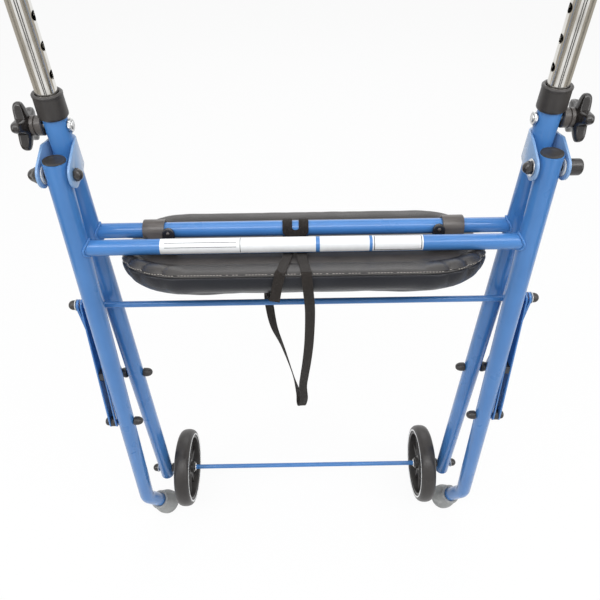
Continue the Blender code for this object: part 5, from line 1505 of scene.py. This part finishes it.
def cornerShare(x, ahead):
    # 1 in the near corners of the seat and 0 along its straight sides
    turn = cornerTurn(x, ahead)
    return 0.0 if turn is None else max(0.0, math.sin(2 * turn)) ** 0.5


def puckerAt(x, ahead):
    # broad puffs with narrow creases between them; their spacing drifts a little
    run = (cornerTurn(x, ahead) or 0.0) * seatShape["rearCorner"] / puckers["reach"]
    drift = 0.16 * noise.noise(Vector((run * 0.9, math.copysign(2.0, x), 0.5)))
    return 2 * abs(math.sin((run + drift) * math.pi)) ** 0.55 - 1


def gatherAt(x, ahead):
    return puckers["sideDeep"] * cornerShare(x, ahead) * puckerAt(x, ahead)


def seatEdge(x, a):
    # how far a place lies inside the seat's outline, and the way out to it
    end = "front" if a > 0 else "rear"
    radius = seatShape[f"{end}Corner"]
    nearX = abs(x) - (seatShape["width"] / 2 - radius)
    nearY = abs(a) - (seatShape[end] - radius)
    if nearX > 0 and nearY > 0:
        reach = math.hypot(nearX, nearY)
        away = (nearX / reach, nearY / reach)
    else:
        reach = max(nearX, nearY)
        away = (1.0, 0.0) if nearX > nearY else (0.0, 1.0)
    return radius - reach, xAxis * math.copysign(away[0], x) + seatAhead * math.copysign(away[1], a)


wallDraw = {"curve": 2.6, "reach": 0.0100, "blend": 0.0040, "fadeDepth": 0.014, "gatherDepth": 0.027,
            "ripple": 0.0003}


def tuckSides(mesh):
    # the wall is drawn firm up to its seam, and gathered in the corners, after the cloth has filled out
    shape = cushionShape
    draw = wallDraw
    for vert in mesh.vertices:
        local = vert.co - frontCross
        x, a, h = local.x, local.dot(seatAhead), local.dot(seatUp)
        below = max(0.0, -shape["topDrop"] - h)
        inside, outward = seatEdge(x, a)
        wall = shape["wallTop"] + shape["wallIn"] * (below / shape["sideDepth"]) ** draw["curve"]
        near = clamped((wall + draw["reach"] - inside) / draw["blend"])
        firm = shape["firm"] * near * clamped((shape["sideDepth"] - below) / draw["fadeDepth"])
        fade = near * max(0.0, 1 - below / draw["gatherDepth"])
        ripple = draw["ripple"] * noise.noise(Vector((x * 12, a * 12, h * 20)))
        vert.co = vert.co + outward * ((inside - wall) * firm + (gatherAt(x, a) + ripple) * fade)


def makeCushion():
    mesh = cushionForm()
    mesh = puffUp(mesh)
    tuckSides(mesh)
    mesh = modified(mesh, "SUBSURF", levels=1, render_levels=1)
    # its finish is the shaded copy of the hem vinyl, painted shade
    cushion = addPiece("seatCushion", "", mesh, "wall", "seat", "seat_cushion", 70.0)


hemShape = {"ends": 0.0170, "run": 0.0300, "farFrom": 0.070, "farBlend": 0.040, "drawn": 0.7}


def hemLift(x, ahead, index):
    # how far the hem stands off the board at one of its section's points
    share = cornerShare(x, ahead) * puckers["deep"]
    far = puckers["farLift"] * clamped((ahead - hemShape["farFrom"]) / hemShape["farBlend"])
    ripple = puckers["ripple"] * noise.noise(Vector((x * 34, ahead * 34, index * 0.3)))
    if index in (2, 3, 4):
        puff = share * (0.55 + 0.45 * puckerAt(x, ahead)) * (0.5, 1.0, 0.9)[index - 2]
        return puff + abs(ripple) + far * (0.6, 1.0, 0.8)[index - 2]
    if index in (5, 6):
        return share * 0.4 * puckerAt(x, ahead) + far * 0.3
    return 0.0


def drawnAt(x, ahead):
    # how far the seam is pulled in or out by the gathers
    return seatEdge(x, ahead)[1] * (gatherAt(x, ahead) * hemShape["drawn"])


def outlineAt(base, inset, runInset=None):
    # the outline moved inwards along its own normals; runInset holds along the two long sides
    moved = []
    for index, here in enumerate(base):
        along = directionAt(base, index, closed=True)
        inward = Vector((-along.y, along.x))
        depth = inset if runInset is None else inset + (runInset - inset) * inward.y ** 2
        moved.append(here + inward * depth)
    return moved


def makeEdgeBand(base):
    # vinyl wrapped over the board's rim and gathered in the near corners
    section = ((1.0, 0.0001), (0.98, 0.0006), (0.72, 0.0009), (0.45, 0.0010), (0.24, 0.0007),
               (0.11, -0.0002), (0.05, -0.0012), (0.07, -0.0021), (0.17, -0.0015), (0.26, 0.0),
               (0.47, 0.0002), (0.72, 0.0001))
    rings = []
    for index, (share, height) in enumerate(section):
        ring = []
        for x, ahead in outlineAt(base, share * hemShape["ends"], share * hemShape["run"]):
            point = seatPoint(x, ahead, boardTop + height + hemLift(x, ahead, index))
            ring.append(point + drawnAt(x, ahead) if share < 0.2 else point)
        rings.append(ring)
    band = addPiece("seatEdgeBand", "", meshFromRings(rings, loop=True), "vinyl", "seat", smooth=70.0)
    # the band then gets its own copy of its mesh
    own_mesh(band)


stitchBead = {"pitch": 0.0036, "length": 0.0028, "width": 0.0008, "height": 0.0008, "share": 0.82, "seed": 7}
weltShape = {"inset": 0.0011, "drop": 0.0026, "radius": 0.00125}
stitchPlace = {"inset": 0.0007, "drop": 0.0008}


def makeSeam(base):
    # a rolled welt under the band's edge with a line of thread above it
    welt = [seatPoint(x, ahead, boardTop - weltShape["drop"])
            for x, ahead in outlineAt(base, weltShape["inset"])]
    rings = [roundRing(point, *crossFrame(directionAt(welt, index, closed=True)), weltShape["radius"], 8)
             for index, point in enumerate(welt)]
    addPiece("seatWelt", "", meshFromRings(rings, loop=True), "vinyl", "seat", smooth=70.0)
    threads = [seatPoint(x, ahead, boardTop - stitchPlace["drop"]) + drawnAt(x, ahead)
               for x, ahead in outlineAt(base, stitchPlace["inset"])]
    stitches = beads.grow(pathMesh(threads, True), "thread", **stitchBead)
    addPiece("seamStitches", "", stitches, "thread", "seat", smooth=80.0)


clipScrew = {"ahead": -0.0150, "up": 0.0046, "head": 0.0042, "shank": 0.0020}
clipLug = {"x": 0.1655, "radius": 0.0074, "near": -0.0110, "thick": 0.0052, "top": -0.0005,
           "foot": -0.0176, "rivet": 0.0022}


def makeClipScrew(label):
    low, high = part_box(f"clip_screw_{label}")
    head = clipScrew["head"]
    shank = clipScrew["shank"]
    start = seatPoint((low.x + high.x) / 2, clipScrew["ahead"], boardTop + clipScrew["up"])
    profile = [(-0.0030, 0), (-0.0030, shank), (0.0, shank), (0.0001, head), (0.0008, head),
               (0.0018, head * 0.72), (0.0023, head * 0.40), (0.0016, head * 0.34), (0.0014, 0)]
    addTurned("clipScrew", label, profile, start, seatUp, "zinc", "seat", "clip_screw", 32, loop=False,
              smooth=40.0)


def makeClipLug(label, side):
    # a round-topped lug stands on the clip's foot against the tube, with a rivet through it
    shape = clipLug
    radius = shape["radius"]
    middle = side * shape["x"]
    outline = [(-radius, shape["foot"]), (radius, shape["foot"])]
    for step in range(13):
        turn = math.pi * step / 12
        outline.append((radius * math.cos(turn), shape["top"] + radius * math.sin(turn)))
    lug = [[seatPoint(middle + x, depth, height) for x, height in outline]
           for depth in (shape["near"], shape["near"] - shape["thick"])]
    addPiece("clipLug", label, bevelled(meshFromRings(lug, capped=True), 0.0012, 4), "gloss", "seat")
    head = shape["rivet"]
    spot = seatPoint(middle, shape["near"] - shape["thick"] + 0.0002, shape["top"] + 0.0010)
    profile = [(0, 0), (0, head), (0.0003, head), (0.0010, head * 0.86), (0.0016, head * 0.5), (0.0018, 0)]
    addTurned("lugRivet", label, profile, spot, -seatAhead, "clip", "seat", steps=28, loop=False, smooth=40.0)


makeBoard()
makeCushion()
seamLine = seatOutline(0.0, 30, 0.0022)
makeEdgeBand(seamLine)
makeSeam(seamLine)
for label, side in sides:
    addPiece("seatClip", label, cadCopy(f"seat_clip_{label}", 0.0006), "clip", "seat", "seat_clip")
    makeClipLug(label, side)
    makeClipScrew(label)
print("seat made")


# Tie strap: hitched round the front cross tube, its loop hangs down

strapShape = {"width": 0.0120, "thick": 0.0014, "spread": 0.0200, "centre": -0.0100, "lift": 0.0007}


def strapRoute():
    # (place, the way the band faces) pairs along the strap
    shape = strapShape
    user = -yAxis
    lift = boardTop + gap + shape["thick"] / 2 + shape["lift"]
    wrap = tube["crossOuter"] + gap + shape["thick"]
    edge = -seatShape["rear"] - gap - shape["thick"] * 1.5
    out = inPlane(user, seatUp)
    corner = (seatUp + out).normalized()

    def roundTube(sign, start, end, steps=9):
        points = []
        for step in range(steps + 1):
            turn = math.radians(start + (end - start) * step / steps)
            away = seatAhead * math.cos(turn) + seatUp * math.sin(turn)
            middle = frontCross + xAxis * (shape["centre"] + sign * shape["spread"] / 2)
            points.append((middle + away * wrap, -away))
        return points

    def onBoard(x, aheadBy):
        return (seatPoint(x, aheadBy, lift), seatUp)

    def onSide(x, below, off=0.0):
        return (seatPoint(x, edge - off, lift - below), out)

    def hang(x, y, drop, facing):
        return (hingeLine + Vector((x, y, -drop)), facing.normalized())

    low = -zAxis
    fore = yAxis
    turned = Vector((0.90, 0.30, 0.30))  # the far run of the loop hangs half twisted
    tail = [onSide(-0.0350, 0.034, 0.0015), onSide(-0.0320, 0.018), onSide(-0.0290, 0.006),
            (seatPoint(-0.0280, edge + 0.0015, lift - 0.0004), corner),
            onBoard(-0.0265, edge + 0.008), onBoard(-0.0200, -0.040), onBoard(-0.0180, -0.012)]
    bight = [(seatPoint(shape["centre"] + across, -wrap - 0.0008, -down), seatAhead)
             for across, down in ((-0.0085, 0.0010), (-0.0035, 0.0042), (0.0035, 0.0042), (0.0085, 0.0010))]
    loop = [onBoard(0.0000, -0.012), onBoard(-0.0030, -0.040), onBoard(0.0010, edge + 0.008),
            (seatPoint(0.0015, edge + 0.0015, lift - 0.0008), corner),
            onSide(0.0020, 0.008), onSide(0.0035, 0.024)]
    loop += [hang(*place, facing) for place, facing in (
        ((0.0056, -0.060, 0.152), user), ((0.0049, -0.050, 0.212), user), ((0.0023, -0.040, 0.262), user),
        ((-0.0008, -0.028, 0.307), user), ((-0.0029, -0.016, 0.347), user), ((-0.0014, -0.006, 0.389), user),
        ((-0.0046, 0.004, 0.420), user + low), ((-0.0070, 0.012, 0.424), low + fore * 0.4),
        ((-0.0090, 0.018, 0.408), fore + turned), ((-0.0170, 0.024, 0.372), turned),
        ((-0.0314, 0.031, 0.314), turned + fore * 0.3), ((-0.0434, 0.034, 0.272), fore + turned * 0.6),
        ((-0.0480, 0.034, 0.232), fore), ((-0.0480, 0.026, 0.200), fore - low * 0.5),
        ((-0.0440, 0.004, 0.172), Vector((0, 0.6, 0.8))), ((-0.0400, -0.030, 0.152), Vector((0, 0.6, 0.8))),
        ((-0.0370, -0.052, 0.138), Vector((0, 0.7, 0.6))))]
    return tail + roundTube(-1, -80, 180) + bight + roundTube(1, 180, -80) + loop


def smoothRoute(route, perSpan):
    # a curve through (place, facing) pairs
    result = []
    last = len(route) - 1
    for index in range(last):
        around = [route[max(index - 1, 0)], route[index], route[index + 1], route[min(index + 2, last)]]
        for step in range(perSpan):
            t = step / perSpan
            pair = []
            for a, b, c, d in zip(*around):
                pair.append(b + ((c - a) * t + (a * 2 - b * 5 + c * 4 - d) * t ** 2
                                 + (b * 3 - a - c * 3 + d) * t ** 3) / 2)
            result.append((pair[0], pair[1].normalized()))
    result.append(route[last])
    return result


def makeStrap():
    # a flat woven band with rounded selvedges; its UV map runs in metres along the band
    stations = smoothRoute(strapRoute(), 8)
    places = [place for place, _ in stations]
    half = strapShape["width"] / 2
    thick = strapShape["thick"] / 2
    shares = ((-1, 0.0), (-0.97, 0.75), (-0.86, 1), (-0.4, 0.82), (0, 0.78), (0.4, 0.82), (0.86, 1),
              (0.97, 0.75), (1, 0.0), (0.97, -0.75), (0.86, -1), (0, -0.8), (-0.86, -1), (-0.97, -0.75))
    section = [(half * across, thick * up) for across, up in shares]
    band = bmesh.new()
    layer = band.loops.layers.uv.new("weave")
    rings = []
    run = 0.0
    for index, (place, normal) in enumerate(stations):
        along = directionAt(places, index)
        across = along.cross(normal).normalized()
        face = across.cross(along)
        run += (place - places[max(index - 1, 0)]).length
        rings.append(([band.verts.new(place + across * a + face * b) for a, b in section], run))
    for (near, nearRun), (far, farRun) in zip(rings, rings[1:]):
        for step in range(len(section)):
            after = (step + 1) % len(section)
            face = band.faces.new((near[step], near[after], far[after], far[step]))
            spots = ((step, nearRun), (after, nearRun), (after, farRun), (step, farRun))
            for corner, (spot, b) in zip(face.loops, spots):
                corner[layer].uv = (section[spot][0] / strapShape["width"] + 0.5, b)
    band.faces.new(rings[0][0])
    band.faces.new(rings[-1][0])
    addPiece("tieStrap", "", meshFromBmesh(band), "webbing", "front_frame", "tie_strap", 60.0)


makeStrap()
print("strap made")


# Blank labels on the rear cross tube

# name, X of both ends, rules, and whether a box is drawn
labelSpots = (
    ("Wide", -0.1699, 0.0137, (("across", 0.62, 0.03, 0.49), ("across", 0.38, 0.03, 0.49),
                               ("up", 0.515, 0.06, 0.94)), False),
    ("Plain", 0.0184, 0.0769, (), False),
    ("Boxed", 0.0805, 0.1404, (), True),
)
labelWrap = {"start": 66.0, "end": 206.0, "off": 0.00008, "thick": 0.00014, "steps": 36, "columns": 24}


def makeLabel(name, startX, endX, rules, boxed):
    wrap = labelWrap
    centre = onCentre(legPoint("rear", 1, drops["rearCross"]))
    inner = tube["crossOuter"] + wrap["off"]
    outer = inner + wrap["thick"]
    steps = wrap["steps"]
    columns = wrap["columns"]
    span = wrap["end"] - wrap["start"]
    finish = labelFinish(f"label{name}Sheet", endX - startX, math.radians(span) * outer, rules, boxed)
    sheet = bmesh.new()
    layer = sheet.loops.layers.uv.new("sheet")
    grid = {}
    for column in range(columns + 1):
        x = startX + (endX - startX) * column / columns
        for step in range(steps + 1):
            turn = math.radians(wrap["start"] + span * step / steps)
            out = Vector((0, math.cos(turn), math.sin(turn)))
            for face, radius in enumerate((outer, inner)):
                grid[column, step, face] = sheet.verts.new(centre + xAxis * x + out * radius)

    def addFace(*keys):
        made = sheet.faces.new([grid[key] for key in keys])
        for corner, (column, step, _) in zip(made.loops, keys):
            corner[layer].uv = (column / columns, 1 - step / steps)

    for c in range(columns):
        for s in range(steps):
            for face in (0, 1):
                addFace((c, s, face), (c + 1, s, face), (c + 1, s + 1, face), (c, s + 1, face))
        for s in (0, steps):
            addFace((c, s, 0), (c + 1, s, 0), (c + 1, s, 1), (c, s, 1))
    for s in range(steps):
        for c in (0, columns):
            addFace((c, s, 0), (c, s + 1, 0), (c, s + 1, 1), (c, s, 1))
    addPiece(f"label{name}", "", meshFromBmesh(sheet), finish, "rear_frame", smooth=40.0, slot="blue_paint")


for facts in labelSpots:
    makeLabel(*facts)
print("labels made")
